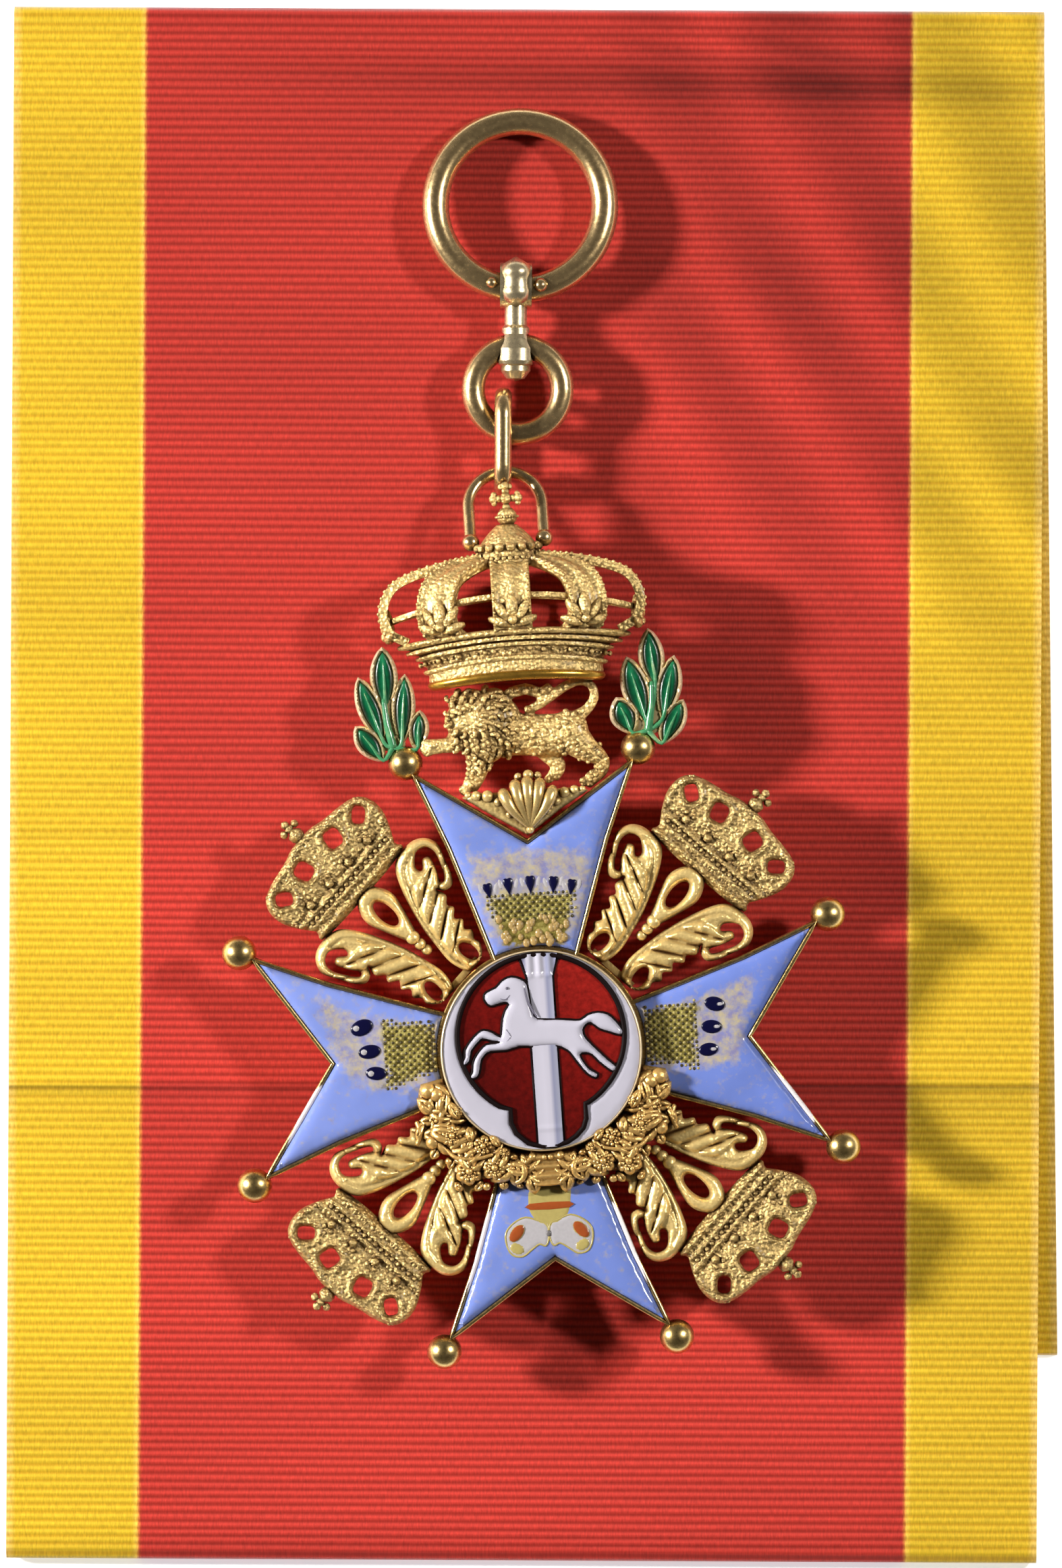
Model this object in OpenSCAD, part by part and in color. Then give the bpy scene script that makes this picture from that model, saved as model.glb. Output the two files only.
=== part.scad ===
// Grand cross badge of an order of merit, lying on its folded silk sash.
// X runs across the sash, Y up along it towards the suspension ring, Z up from the
// table. The origin is under the middle of the whole piece, on the table.

/* [Sash] */
// Width of the silk sash
sash_w = 101; // [98:1:104]
// Length of the folded sash, from fold to fold
sash_l = 152.8; // [150:0.2:156]
// Thickness of one layer of silk
sash_t = 1; // [1:0.1:1.2]
// Gap between the folded layers
fold_gap = 0.4; // [0.3:0.1:0.6]
// Distance from the lower fold up to the free end of the under layer
free_end = 20.6; // [18:0.2:24]
// Length of the short tail that is turned under at the lower fold
tail_l = 15; // [10:1:16]
// How far the under layer has slipped sideways at its free end
slip = 2; // [0.5:0.1:2.5]

/* [Placing] */
// Sideways distance from the sash's middle to the medallion's centre
med_side = 1.7; // [0:0.1:3]
// Distance from the lower fold to the medallion's centre
med_up = 50.5; // [46:0.5:55]
// Angle by which the badge lies turned on the sash
badge_turn = 4.1; // [0:0.1:6]
// Height of the cross's middle plane above the sash
lift = 6; // [5.8:0.1:6.5]

/* [Cross] */
// Distance along an arm from the centre to its two ball tips
ball_reach = 28.85; // [28:0.05:30]
// Distance of each ball tip from the arm's middle line
ball_side = 11.4; // [11:0.1:12]
// Diameter of a ball tip
ball_d = 3.4; // [3:0.1:3.8]
// Distance from the centre to the notch between an arm's two points
notch_r = 20.7; // [20.2:0.1:21.2]
// Half width of an arm where it leaves the medallion
arm_root = 4.7; // [4.4:0.1:5]
// Thickness of the cross's gold body
arm_t = 2.2; // [2:0.1:2.6]
// Width of the gold edge around the enamel
edge_w = 0.45; // [0.3:0.05:0.6]

/* [Medallion] */
// Outer radius of the medallion's bezel
med_r = 9.85; // [9.5:0.05:10]
// Radius of the red field
field_r = 8; // [7.6:0.1:8.2]
// Half width of the field's tongue at its foot
tongue_w = 3.7; // [3.2:0.1:4]
// Width of the column's shaft
column_w = 2.6; // [2.2:0.1:3]

/* [Corner ornaments] */
// Thickness of the pierced corner plates
corner_t = 1.7; // [1.4:0.1:2]

/* [Crown] */
// Half width of the crown over its side arches
crown_a = 13.3; // [12.5:0.1:13.6]
// Half depth of the crown over its front and back arches
crown_b = 5.5; // [5:0.1:5.5]
// Width of an arch
arch_w = 3.8; // [3:0.1:4.2]
// Thickness of an arch
arch_t = 1.2; // [1:0.1:1.5]

/* [Suspension] */
// Middle radius of the large suspension ring
ring_r = 8.3; // [8:0.1:8.6]
// Wire diameter of the large ring
ring_wire = 2.65; // [2.4:0.05:2.7]
// Middle radius of the small ring
small_r = 4.35; // [4.2:0.05:4.5]
// Wire diameter of the small ring
small_wire = 2.3; // [2.1:0.1:2.3]
// Wire diameter of the long link
link_wire = 1.7; // [1.5:0.1:1.8]
// Wire diameter of the crown's bail
bail_wire = 1.2; // [1:0.1:1.2]

/* [Hidden] */

gold = [0.80, 0.66, 0.36];
ring_gold = [0.70, 0.60, 0.38];
blue = [0.48, 0.56, 0.90];
green = [0.0, 0.42, 0.24];
white = [0.88, 0.87, 0.90];
red = [0.52, 0.08, 0.05];
silk = [0.80, 0.20, 0.18];

// Clearance between two pieces that are seated on each other
seat = 0.06;
// Fineness of true round surfaces
round_fn = 48;
// A length longer than any piece is thick
through = 40;

sash_top = 2 * sash_t + fold_gap;
fold_r = sash_top / 2;
// The slipped under layer makes the whole piece wider on the right
sash_x = -slip / 2;
med_x = sash_x + med_side;
med_y = med_up - sash_l / 2;
badge_z = sash_top + lift;
// Height at which the rings and links lie above the sash
chain_h = 3.05;

// Heights on the badge, from the cross's middle plane
face_z = arm_t / 2;
cell_z = face_z - 0.7;
enamel_z = face_z + 0.15;
bezel_z = 3.3;
bezel_wall = 0.3;
floor_z = 2.5;
field_z = 3;

hub_r = med_r + 0.35;
root_y = 8;
arm_dx = (ball_side - 0.2 - arm_root) / (ball_reach - 0.65 - 9.6);
root_x = arm_root - (9.6 - root_y) * arm_dx;
tip_x = ball_side - 0.2;
tip_y = ball_reach - 0.65;
arm_points = [
    [-root_x, root_y], [root_x, root_y], [tip_x, tip_y], [0, notch_r], [-tip_x, tip_y]
];

// Curves and outlines

function catmull(a, b, c, d, t) =
    0.5 * (2 * b + (c - a) * t + (2 * a - 5 * b + 4 * c - d) * t * t
        + (3 * b - a - 3 * c + d) * t * t * t);

// A closed outline rounded through its corner points
function smooth(p, n = 3) = [
    for (i = [0 : len(p) - 1], k = [0 : n - 1])
        catmull(p[(i + len(p) - 1) % len(p)], p[i], p[(i + 1) % len(p)],
            p[(i + 2) % len(p)], k / n)
];

// An open line rounded through its points
function smooth_line(p, n = 3) = concat([
    for (i = [0 : len(p) - 2], k = [0 : n - 1])
        catmull(p[max(i - 1, 0)], p[i], p[i + 1], p[min(i + 2, len(p) - 1)], k / n)
], [p[len(p) - 1]]);

function edge_normal(a, b) = [a.y - b.y, b.x - a.x] / norm(b - a);

// An anticlockwise outline moved inwards by d, or outwards where d is negative
function inset(p, d) = [
    for (i = [0 : len(p) - 1])
        let (
            m = edge_normal(p[(i + len(p) - 1) % len(p)], p[i]),
            n = edge_normal(p[i], p[(i + 1) % len(p)])
        )
        p[i] + (m + n) * d / (1 + m * n)
];

function mirrored(p) = [for (i = [len(p) - 1 : -1 : 0]) [p[i].x, -p[i].y]];

function flipped(p) = [for (i = [len(p) - 1 : -1 : 0]) [-p[i].x, p[i].y]];

// Half of a shape that is the same on both sides of the X axis, made whole
function whole(p) = concat(p, mirrored(p));

// A leaf from base to tip, widest a little past its middle
function leaf(base, tip, half, steps = 7) =
    let (
        along = tip - base,
        side = [-along.y, along.x] / norm(along),
        widths = [for (k = [0 : steps]) half * pow(sin(180 * pow(k / steps, 1.1)), 0.7)]
    )
    concat(
        [for (k = [0 : steps]) base + along * k / steps - side * widths[k]],
        [for (k = [steps - 1 : -1 : 1]) base + along * k / steps + side * widths[k]]
    );

// Frames

module on_badge() {
    translate([med_x, med_y, badge_z]) rotate([0, 0, badge_turn]) children();
}

module on_sash() {
    translate([med_x, med_y, sash_top]) children();
}

module plate(from_z, to_z) {
    translate([0, 0, from_z]) linear_extrude(to_z - from_z) children();
}

module ring(radius, wire) {
    rotate_extrude($fn = round_fn * 2) translate([radius, 0]) circle(d = wire, $fn = 24);
}

// Sash: one strip of silk, folded over at the top and turned under at the foot

module sash_fold() {
    rotate([0, 90, 0]) linear_extrude(sash_w, center = true) difference() {
        circle(r = fold_r, $fn = round_fn);
        circle(r = fold_gap / 2, $fn = 24);
        translate([-2 * fold_r, -4 * fold_r]) square(4 * fold_r);
    }
}

module sash_ribbon() {
    straight = sash_l / 2 - fold_r;
    free_y = free_end - sash_l / 2;
    tail_y = tail_l - sash_l / 2;
    color(silk) translate([sash_x, 0, 0]) union() {
        translate([-sash_w / 2, -straight, sash_t + fold_gap])
            cube([sash_w, 2 * straight, sash_t]);
        translate([0, straight, fold_r]) sash_fold();
        translate([0, -straight, fold_r]) rotate([0, 0, 180]) sash_fold();
        linear_extrude(sash_t) polygon([
            [-sash_w / 2, straight], [-sash_w / 2 + slip, free_y],
            [sash_w / 2 + slip, free_y], [sash_w / 2, straight]
        ]);
        translate([-sash_w / 2, -straight, 0]) cube([sash_w, tail_y + straight, sash_t]);
    }
}

// Suspension: large ring, swivel clasp, small ring, long link and bail

ring_x = -2.5;
ring_y = 82.8;
ring_low_h = 3;
ring_high_h = ring_wire / 2 + seat;
ring_tilt = asin((ring_low_h - ring_high_h) / (2 * ring_r));
clasp_x = -2.87;
small_x = -2.64;
small_y = 64.7;
link_x = -4.05;
link_foot_y = 54.2;
link_head_y = 64.9;
link_gap_r = 1.25;

module at_ring() {
    on_sash() translate([ring_x, ring_y, (ring_low_h + ring_high_h) / 2])
        rotate([-ring_tilt, 0, 0]) children();
}

module suspension_ring() {
    stops = [[-2.75, 0.55], [2.05, 0.68]];
    color(ring_gold) at_ring() {
        ring(ring_r, ring_wire);
        for (s = stops)
            translate([s.x, -sqrt(ring_r * ring_r - s.x * s.x), ring_wire / 2 - 0.15])
                sphere(r = s.y, $fn = 24);
    }
}

module ring_clasp() {
    sleeve_l = 3.1;
    sleeve_y = 75.2;
    sleeve_r = 1.9;
    neck_r = 1.1;
    // Radius and height of each turn of the bell, from the ball up to the neck
    bell = [
        [0, 65.5], [0.9, 65.75], [1.45, 66.5], [1.45, 67], [1.75, 67.15], [1.92, 67.5],
        [1.92, 68.7], [1.55, 69.7], [1.35, 70.1], [1.35, 70.7], [neck_r, 71],
        [neck_r, 74], [0, 74]
    ];
    slot_r = small_wire / 2 + 0.12;
    slot_y = small_y + small_r;
    color(ring_gold) difference() {
        on_sash() translate([clasp_x, 0, chain_h]) difference() {
            union() {
                rotate([90, 0, 0]) mirror([0, 0, 1]) rotate_extrude($fn = round_fn)
                    polygon([for (p = bell) [p.x, p.y]]);
                for (y = [sleeve_y, sleeve_y - 0.65])
                    translate([-sleeve_l / 2, y, 0]) rotate([0, 90, 0])
                        cylinder(r = sleeve_r, h = sleeve_l, $fn = round_fn);
            }
            translate([-through / 2, slot_y, 0]) rotate([0, 90, 0])
                cylinder(r = slot_r, h = through, $fn = 24);
            translate([-through / 2, slot_y - 0.75, 0]) rotate([0, 90, 0])
                cylinder(r = slot_r, h = through, $fn = 24);
            translate([-through / 2, slot_y - 0.75, -slot_r])
                cube([through, 0.75, 2 * slot_r]);
        }
        at_ring() ring(ring_r, ring_wire + 0.16);
    }
}

module small_ring() {
    color(ring_gold) on_sash() translate([small_x, small_y, chain_h])
        ring(small_r, small_wire);
}

// A link of round wire: two straight sides and two half-round ends
module long_link() {
    bend_r = link_gap_r + link_wire / 2;
    foot = link_foot_y + bend_r + link_wire / 2;
    head = link_head_y - bend_r - link_wire / 2;
    color(ring_gold) on_sash() translate([link_x, 0, chain_h]) rotate([0, 90, 0]) {
        for (side = [-1, 1])
            translate([side * bend_r, foot, 0]) rotate([-90, 0, 0])
                cylinder(d = link_wire, h = head - foot, $fn = 24);
        translate([0, foot, 0]) half_bend(bend_r, link_wire, 180);
        translate([0, head, 0]) half_bend(bend_r, link_wire, 0);
    }
}

module half_bend(radius, wire, turn) {
    rotate([0, 0, turn]) rotate_extrude(angle = 180, $fn = round_fn)
        translate([radius, 0]) circle(d = wire, $fn = 24);
}

// The bail leans from the crown's top down to the long link
bail_r = 3.6;
bail_foot_y = 50;
bail_top_y = 56.75;
bail_foot_z = -0.3;
bail_lean = atan((lift + bail_foot_z - chain_h) / (bail_top_y - bail_foot_y));

module crown_bail() {
    rise = (bail_top_y - bail_foot_y) / cos(bail_lean) - bail_r;
    color(ring_gold) on_badge() translate([0, bail_foot_y, bail_foot_z])
        rotate([-bail_lean, 0, 0]) {
            for (side = [-1, 1])
                translate([side * bail_r, 0, 0]) {
                    rotate([-90, 0, 0]) cylinder(d = bail_wire, h = rise, $fn = 24);
                    sphere(r = bail_wire * 0.72, $fn = 24);
                }
            translate([0, rise, 0]) half_bend(bail_r, bail_wire, 0);
        }
}

// Crown: oval circlet, eight half arches, fleurons, cap, orb and cross

// Mouldings of the circlet, from its foot up
circlet = [
    // low, high, half_w, half_d
    [35.9, 36.8, 8.3, 4.1],
    [36.8, 37.8, 8.8, 4.3],
    [37.8, 38.7, 9.4, 4.5],
    [38.7, 39.3, 10.0, 4.7],
    [39.3, 40.0, 10.6, 4.9]
];
circlet_wall = 1.3;
// How much higher the circlet runs in front and behind than at its sides
circlet_rise = 0.9;

// An arch's middle line, as parts of the crown's half width, and heights
arch_line = [
    [0.77, 39.6], [0.86, 40.6], [0.93, 41.9], [0.955, 43.5], [0.92, 45.1], [0.84, 46.3],
    [0.68, 47.2], [0.46, 47.9], [0.2, 48.4]
];
// Directions of the arches around the crown, from its right side
arch_plans = [0, 54, 90, 126, 180, 234, 270, 306];

// A closed oval band whose front and back run higher than its sides.
// Each point of its section is half width, half depth and height.
module oval_band(section, rise) {
    n = 28;
    count = len(section);
    points = [
        for (k = [0 : n - 1], s = section)
            let (t = 360 * k / n)
            [s[0] * cos(t), s[2] + rise * sin(t) * sin(t), s[1] * sin(t)]
    ];
    faces = [
        for (k = [0 : n - 1], j = [0 : count - 1])
            let (m = (k + 1) % n, i = (j + 1) % count)
            each [
                [count * k + j, count * m + i, count * k + i],
                [count * k + j, count * m + j, count * m + i]
            ]
    ];
    polyhedron(points = points, faces = faces, convexity = 4);
}

module crown_circlet() {
    foot = circlet[0];
    head = circlet[len(circlet) - 1];
    oval_band(concat(
        [for (c = circlet) each [[c[2], c[3], c[0]], [c[2], c[3], c[1]]]],
        [
            [head[2] - circlet_wall, head[3] - circlet_wall, head[1]],
            [foot[2] - circlet_wall, foot[3] - circlet_wall, foot[0]]
        ]
    ), circlet_rise);
    // Closed floor of the circlet
    translate([0, 36.4, 0]) scale([7.6, 1, 3.5]) rotate([-90, 0, 0])
        cylinder(r = 1, h = 0.9, $fn = 28);
}

// Oval wire that ties the arches together half way up
module arch_tie() {
    tie_a = crown_a * 0.93;
    tie_b = crown_b * 0.93;
    tie_t = 0.6;
    oval_band([
        [tie_a, tie_b, 42.3], [tie_a, tie_b, 42.9], [tie_a - tie_t, tie_b - tie_t, 42.9],
        [tie_a - tie_t, tie_b - tie_t, 42.3]
    ], 1.9);
}

// One half arch in the direction of the plan angle, a bar with a raised middle rib
module half_arch(plan) {
    path = smooth_line(arch_line, 2);
    facing = atan2(crown_a * sin(plan), crown_b * cos(plan));
    side = [-sin(facing), 0, cos(facing)];
    bar = [[-0.5, -0.5], [0.5, -0.5], [0.5, 0.1], [0.2, 0.5], [-0.2, 0.5], [-0.5, 0.1]];
    count = len(bar);
    last = len(path) - 1;
    function spot(p) = [crown_a * cos(plan) * p.x, p.y, crown_b * sin(plan) * p.x];
    function outward(k) =
        let (
            along = spot(path[min(k + 1, last)]) - spot(path[max(k - 1, 0)]),
            n = cross(along, side)
        )
        n / norm(n);
    points = [
        for (k = [0 : last], s = bar)
            spot(path[k]) + side * arch_w * s.x + outward(k) * arch_t * s.y
    ];
    faces = concat(
        [
            for (k = [0 : last - 1], i = [0 : count - 1])
                let (a = k * count + i, b = k * count + (i + 1) % count)
                each [[a, b + count, b], [a, a + count, b + count]]
        ],
        [for (i = [1 : count - 2]) [0, i, i + 1]],
        [for (i = [1 : count - 2]) [last * count, last * count + i + 1, last * count + i]]
    );
    polyhedron(points = points, faces = faces, convexity = 6);
}

// Bud with three lobes at the foot of an arch
module fleuron(plan) {
    out = 0.86;
    foot_y = 40.6 + circlet_rise * sin(plan) * sin(plan);
    translate([out * crown_a * cos(plan), foot_y, out * crown_b * sin(plan)]) {
        sphere(r = 1.1, $fn = 8);
        for (side = [-1, 1])
            translate([side * 1.3 * sin(plan), 0.1, -side * 1.1 * cos(plan)])
                sphere(r = 0.8, $fn = 8);
        translate([0, 1.4, 0]) sphere(r = 0.85, $fn = 8);
    }
}

module crown() {
    color(gold) on_badge() {
        crown_circlet();
        arch_tie();
        for (plan = arch_plans) {
            half_arch(plan);
            fleuron(plan);
        }
        crown_top();
    }
}

// Cap, orb and cross with rounded ends
module crown_top() {
    cross_y = 54.1;
    translate([0, 47.6, 0]) rotate([-90, 0, 0]) {
        cylinder(r1 = 3.5, r2 = 3.3, h = 1.4, $fn = 24);
        translate([0, 0, 1.4]) cylinder(r1 = 3.3, r2 = 1, h = 2.15, $fn = 24);
    }
    translate([0.1, 52.1, 0]) sphere(r = 1.1, $fn = 16);
    translate([0.1, cross_y, 0]) {
        cube([0.8, 2.4, 0.9], center = true);
        cube([2.6, 0.8, 0.9], center = true);
        for (turn = [-90, 0, 90])
            rotate([0, 0, turn]) translate([0, 0.85, 0])
                cylinder(r = 0.6, h = 0.9, center = true, $fn = 16);
    }
}

// Lion walking to the left, with a curled mane and its tail over its back

module limb(path, sizes, flat = 0.62) {
    for (k = [0 : len(path) - 2])
        hull() {
            bead(path[k], sizes[k], flat);
            bead(path[k + 1], sizes[k + 1], flat);
        }
}

module bead(place, r, flat = 1, fn = 12) {
    translate([place.x, place.y, place.z]) scale([1, 1, flat]) sphere(r = r, $fn = fn);
}

module lion() {
    // Tufts of the mane: x, y, height and radius
    tufts = [
        [-5.3, 34.1, 0.8, 1.5], [-3.2, 34.2, 1, 1.7], [-1.7, 33.2, 0.9, 1.5],
        [-5.6, 31.9, 1, 1.5], [-3.6, 31.9, 1.3, 1.9], [-1.5, 31.2, 0.9, 1.6],
        [-5.1, 29.9, 0.8, 1.4], [-3.1, 29.7, 0.9, 1.5]
    ];
    color(gold) on_badge() {
        for (side = [-1, 1], t = tufts)
            bead([t.x, t.y, side * t.z], t[3], 0.9, 10);
        limb([[-3.5, 31.8, 0], [1, 30.9, 0], [4.3, 30.6, 0]], [3.4, 2.1, 2.1]);
        limb([[-5, 30.6, 0.6], [-7, 30.1, 0.7], [-8.8, 30.2, 0.7]], [1.3, 0.9, 0.85]);
        limb([[-4.2, 29.4, 0], [-4.6, 27.6, 0], [-5.3, 26, 0]], [1.5, 0.95, 0.8]);
        limb([[2.6, 29.9, -0.6], [2.9, 28, -0.6], [1.5, 26.7, -0.6]], [1.6, 0.95, 0.75]);
        limb([[5, 30.4, 0], [6, 29, 0], [7.6, 27.9, 0], [7.4, 26.8, 0], [6, 25.9, 0]],
            [1.8, 1.4, 0.85, 0.75, 0.75]);
        limb([
            [5.2, 31.8, 0], [6.6, 32.8, 0], [7.4, 34, 0], [6.9, 35.1, 0],
            [5.4, 35.4, 0], [3.8, 34.8, 0], [2.4, 34, 0.4], [1.6, 34.8, 0.5]
        ], [0.8, 0.6, 0.55, 0.55, 0.6, 0.75, 0.85, 0.9], 0.9);
    }
}

// Wedge of ground with a scallop shell, seated in the notch of the upper arm
module shell_base() {
    wedge = [
        [0.1, notch_r + 0.35], [3.6, 23.5], [6.3, 25.05], [4.9, 25], [0, 25.1],
        [-4.6, 25.1], [-6.1, 25.1], [-3.6, 23.4]
    ];
    shell_foot = 21.6;
    ribs = 7;
    color(gold) on_badge() {
        plate(-1.5, 1.5) polygon(wedge);
        for (k = [0 : ribs - 1])
            plate(1.3, 1.9 + 0.35 * sin(180 * (k + 1) / (ribs + 1)))
                polygon(leaf(
                    [0.4, shell_foot],
                    [0.4 + 0.86 * (k - (ribs - 1) / 2),
                        26.1 - 0.11 * pow(k - (ribs - 1) / 2, 2)],
                    0.42, 6
                ));
    }
}

// Cross: four arms cut back to a cell for the enamel, and eight balls

module arm_2d(d = 0) {
    polygon(inset(arm_points, d));
}

module cross_frame() {
    color(gold) on_badge() difference() {
        union() {
            plate(-face_z, face_z) circle(r = hub_r, $fn = 96);
            for (turn = [0 : 90 : 270])
                rotate([0, 0, turn]) {
                    plate(-face_z, face_z) arm_2d();
                    for (side = [-1, 1])
                        translate([side * ball_side, ball_reach, 0])
                            sphere(d = ball_d, $fn = round_fn);
                }
        }
        for (turn = [0 : 90 : 270])
            rotate([0, 0, turn]) plate(cell_z, through) difference() {
                arm_2d(edge_w);
                circle(r = hub_r, $fn = 96);
            }
    }
}

module arm_enamel(turn) {
    color(blue) on_badge() rotate([0, 0, turn]) plate(cell_z + seat, enamel_z)
        difference() {
            arm_2d(edge_w + seat);
            circle(r = hub_r + seat, $fn = 96);
        }
}

// Plain turned back, on which the badge lies
module reverse_boss() {
    foot = -lift + seat;
    color(gold) on_badge() rotate_extrude($fn = 96) polygon([
        [0, -face_z - seat], [med_r, -face_z - seat], [med_r, -2.6], [med_r - 0.6, -2.9],
        [med_r - 0.8, -3.6], [6.4, foot + 0.5], [5.2, foot], [0, foot]
    ]);
}

// Corner ornament: two curled leaves, a loop and a small open crown.
// Outlines run outwards along X, with half of each shape on +Y.

leaf_half = [
    [10.45, 0.9], [12.3, 0.5], [14.5, 0.8], [16.5, 1.2], [19.2, 2.1], [21, 2.9],
    [22.4, 3.7], [23.1, 4.6], [23.2, 5.6], [23, 6.7], [22.5, 7.7], [21.6, 8.4],
    [20.4, 8.5], [19.1, 7.9], [18.1, 7], [17.8, 6.1], [18.2, 5.4], [17.4, 4.8],
    [16.1, 4.5], [15.1, 3.8], [13.9, 4.4], [13, 4], [12.0, 4.2], [11.1, 3.8],
    [10.5, 3], [10.4, 2]
];
leaf_hook = [
    [18.6, 6.5], [19.6, 7.3], [20.8, 7.7], [21.8, 7.4], [22.1, 6.6], [21.6, 5.7],
    [21, 5.5], [21.2, 6.3], [20.8, 6.8], [20, 6.7], [19.1, 6.3]
];
loop_half = [[15.4, 0], [17.2, 0.75], [19.2, 1.45], [20.8, 1.9], [22.1, 1.65], [23.2, 0.8]];
crown_half = [
    [23, 5.2], [24.2, 5.8], [25.6, 6.7], [27.2, 7.4], [28.8, 7.4], [29.9, 6.7],
    [30.5, 5.2], [30.9, 2.8], [31.3, 1.2]
];

module corner_flat() {
    difference() {
        union() {
            polygon(smooth(leaf_half));
            mirror([0, 1]) polygon(smooth(leaf_half));
            translate([hub_r + seat, -2.6]) square([0.6, 5.2]);
            polygon(whole(smooth_line(loop_half)));
            polygon(whole(smooth_line(crown_half)));
            translate([31.8, 0]) circle(r = 0.8, $fn = 24);
            translate([31.8, -0.4]) square([2, 0.8]);
            translate([32.5, -1.1]) square([0.75, 2.2]);
        }
        for (side = [0, 1])
            mirror([0, side]) {
                polygon(smooth(leaf_hook));
                translate([11.6, 2.2]) circle(r = 0.6, $fn = 24);
                translate([12.3, 2.6]) circle(r = 0.55, $fn = 24);
                translate([28.6, 5.6]) circle(r = 0.8, $fn = 24);
                translate([29, 2.2]) circle(r = 0.95, $fn = 24);
            }
        translate([20.6, 0]) circle(r = 0.6, $fn = 24);
        translate([19.6, 0]) circle(r = 0.5, $fn = 24);
        for (turn = [45, -45])
            rotate([0, 0, turn - 90]) arm_2d(-seat);
        circle(r = hub_r + seat, $fn = 96);
    }
}

module corner_ornament(turn) {
    color(gold) on_badge() rotate([0, 0, turn]) {
        plate(-corner_t / 2, corner_t / 2) corner_flat();
        plate(corner_t / 2 - 0.1, corner_t / 2 + 0.4)
            polygon(whole([[23.3, 5], [25.6, 6.2], [25.9, 0]]));
        for (side = [0, 1])
            mirror([0, side, 0]) plate(corner_t / 2 - 0.1, corner_t / 2 + 0.4)
                polygon(smooth([
                    [13, 1.6], [16.5, 2.2], [19.4, 3.4], [21, 4.9], [19, 4.5], [16, 3.2]
                ]));
    }
}

// Laurel sprays: gold frames with five enamelled leaves each

laurel_left_leaves = [
    // base_x, base_y, tip_x, tip_y, half_width
    [-12.9, 35.1, -12.9, 39.7, 0.68],
    [-11.6, 31.6, -11.0, 37.0, 0.55],
    [-13.5, 31.8, -15.5, 37.0, 0.62],
    [-10.1, 30.9, -9.8, 33.4, 0.45],
    [-13.7, 30.1, -15.8, 32.4, 0.62]
];
laurel_right_leaves = [
    [13.2, 35.3, 13.1, 39.7, 0.66],
    [12.4, 31.6, 10.9, 37.3, 0.8],
    [13.8, 32.1, 15.4, 37.1, 0.68],
    [11.1, 31.0, 9.7, 33.4, 0.75],
    [13.8, 30.0, 15.9, 32.8, 0.6]
];
laurel_stem = [
    [10.2, 30.7], [13.9, 29.8], [14.1, 32.5], [13.4, 36.5], [12.6, 36.5], [11.6, 33]
];
leaf_rim = 0.42;
laurel_t = 1.4;

module leaf_2d(row, grow) {
    base = [row[0], row[1]];
    tip = [row[2], row[3]];
    along = (tip - base) / norm(tip - base);
    polygon(leaf(base - along * grow, tip + along * grow, row[4] + grow));
}

module laurel_frame(leaves, side) {
    color(gold) on_badge() difference() {
        plate(-laurel_t / 2, laurel_t / 2) union() {
            for (row = leaves)
                leaf_2d(row, leaf_rim);
            polygon(side > 0 ? laurel_stem : flipped(laurel_stem));
        }
        plate(laurel_t / 2 - 0.6, through) for (row = leaves)
            leaf_2d(row, 0);
        translate([side * ball_side, ball_reach, 0])
            sphere(d = ball_d + 2 * seat, $fn = round_fn);
    }
}

module laurel_enamel(leaves) {
    color(green) on_badge() plate(laurel_t / 2 - 0.6 + seat, laurel_t / 2 + 0.08)
        for (row = leaves)
            leaf_2d(row, -seat);
}

// Medallion: bezel, white ring, red field, column and leaping horse

module medallion_bezel() {
    wall = bezel_wall;
    color(gold) on_badge() rotate_extrude($fn = 96) polygon([
        [0, face_z + seat], [med_r, face_z + seat], [med_r, bezel_z - 0.2],
        [med_r - wall / 2, bezel_z], [med_r - wall, bezel_z - 0.2],
        [med_r - wall, floor_z], [0, floor_z]
    ]);
}

module field_2d(grow = 0) {
    union() {
        translate([0.1, 1.3]) circle(r = field_r + grow, $fn = 96);
        intersection() {
            translate([0.2 - tongue_w - grow, -med_r]) square([2 * tongue_w + 2 * grow, med_r]);
            circle(r = med_r - 0.62 + grow, $fn = 96);
        }
    }
}

module inner_disc_2d() {
    circle(r = med_r - bezel_wall - seat, $fn = 96);
}

module medallion_white() {
    color(white) on_badge() plate(floor_z + seat, field_z + 0.1) difference() {
        inner_disc_2d();
        field_2d(seat);
    }
}

module medallion_red() {
    color(red) on_badge() plate(floor_z + seat, field_z) intersection() {
        inner_disc_2d();
        field_2d();
    }
}

module medallion_column() {
    half = column_w / 2;
    shaft_top = 7.3;
    neck_shadow = [[-3, 0.1], [3, 0.1], [3, 3.1], [0.2, 3.1], [-0.45, 4.6], [-0.8, 6.8], [-3, 6.8]];
    color(white) on_badge() translate([0.3, 0, 0]) plate(field_z + seat, field_z + 0.4)
        intersection() {
            difference() {
                polygon([
                    [-half - 0.05, -med_r], [half + 0.05, -med_r], [half, shaft_top],
                    [1.85, med_r], [-1.75, med_r], [-half, shaft_top]
                ]);
                translate([-0.3, 0]) polygon(neck_shadow);
            }
            circle(r = med_r - 1, $fn = 96);
        }
}

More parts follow.
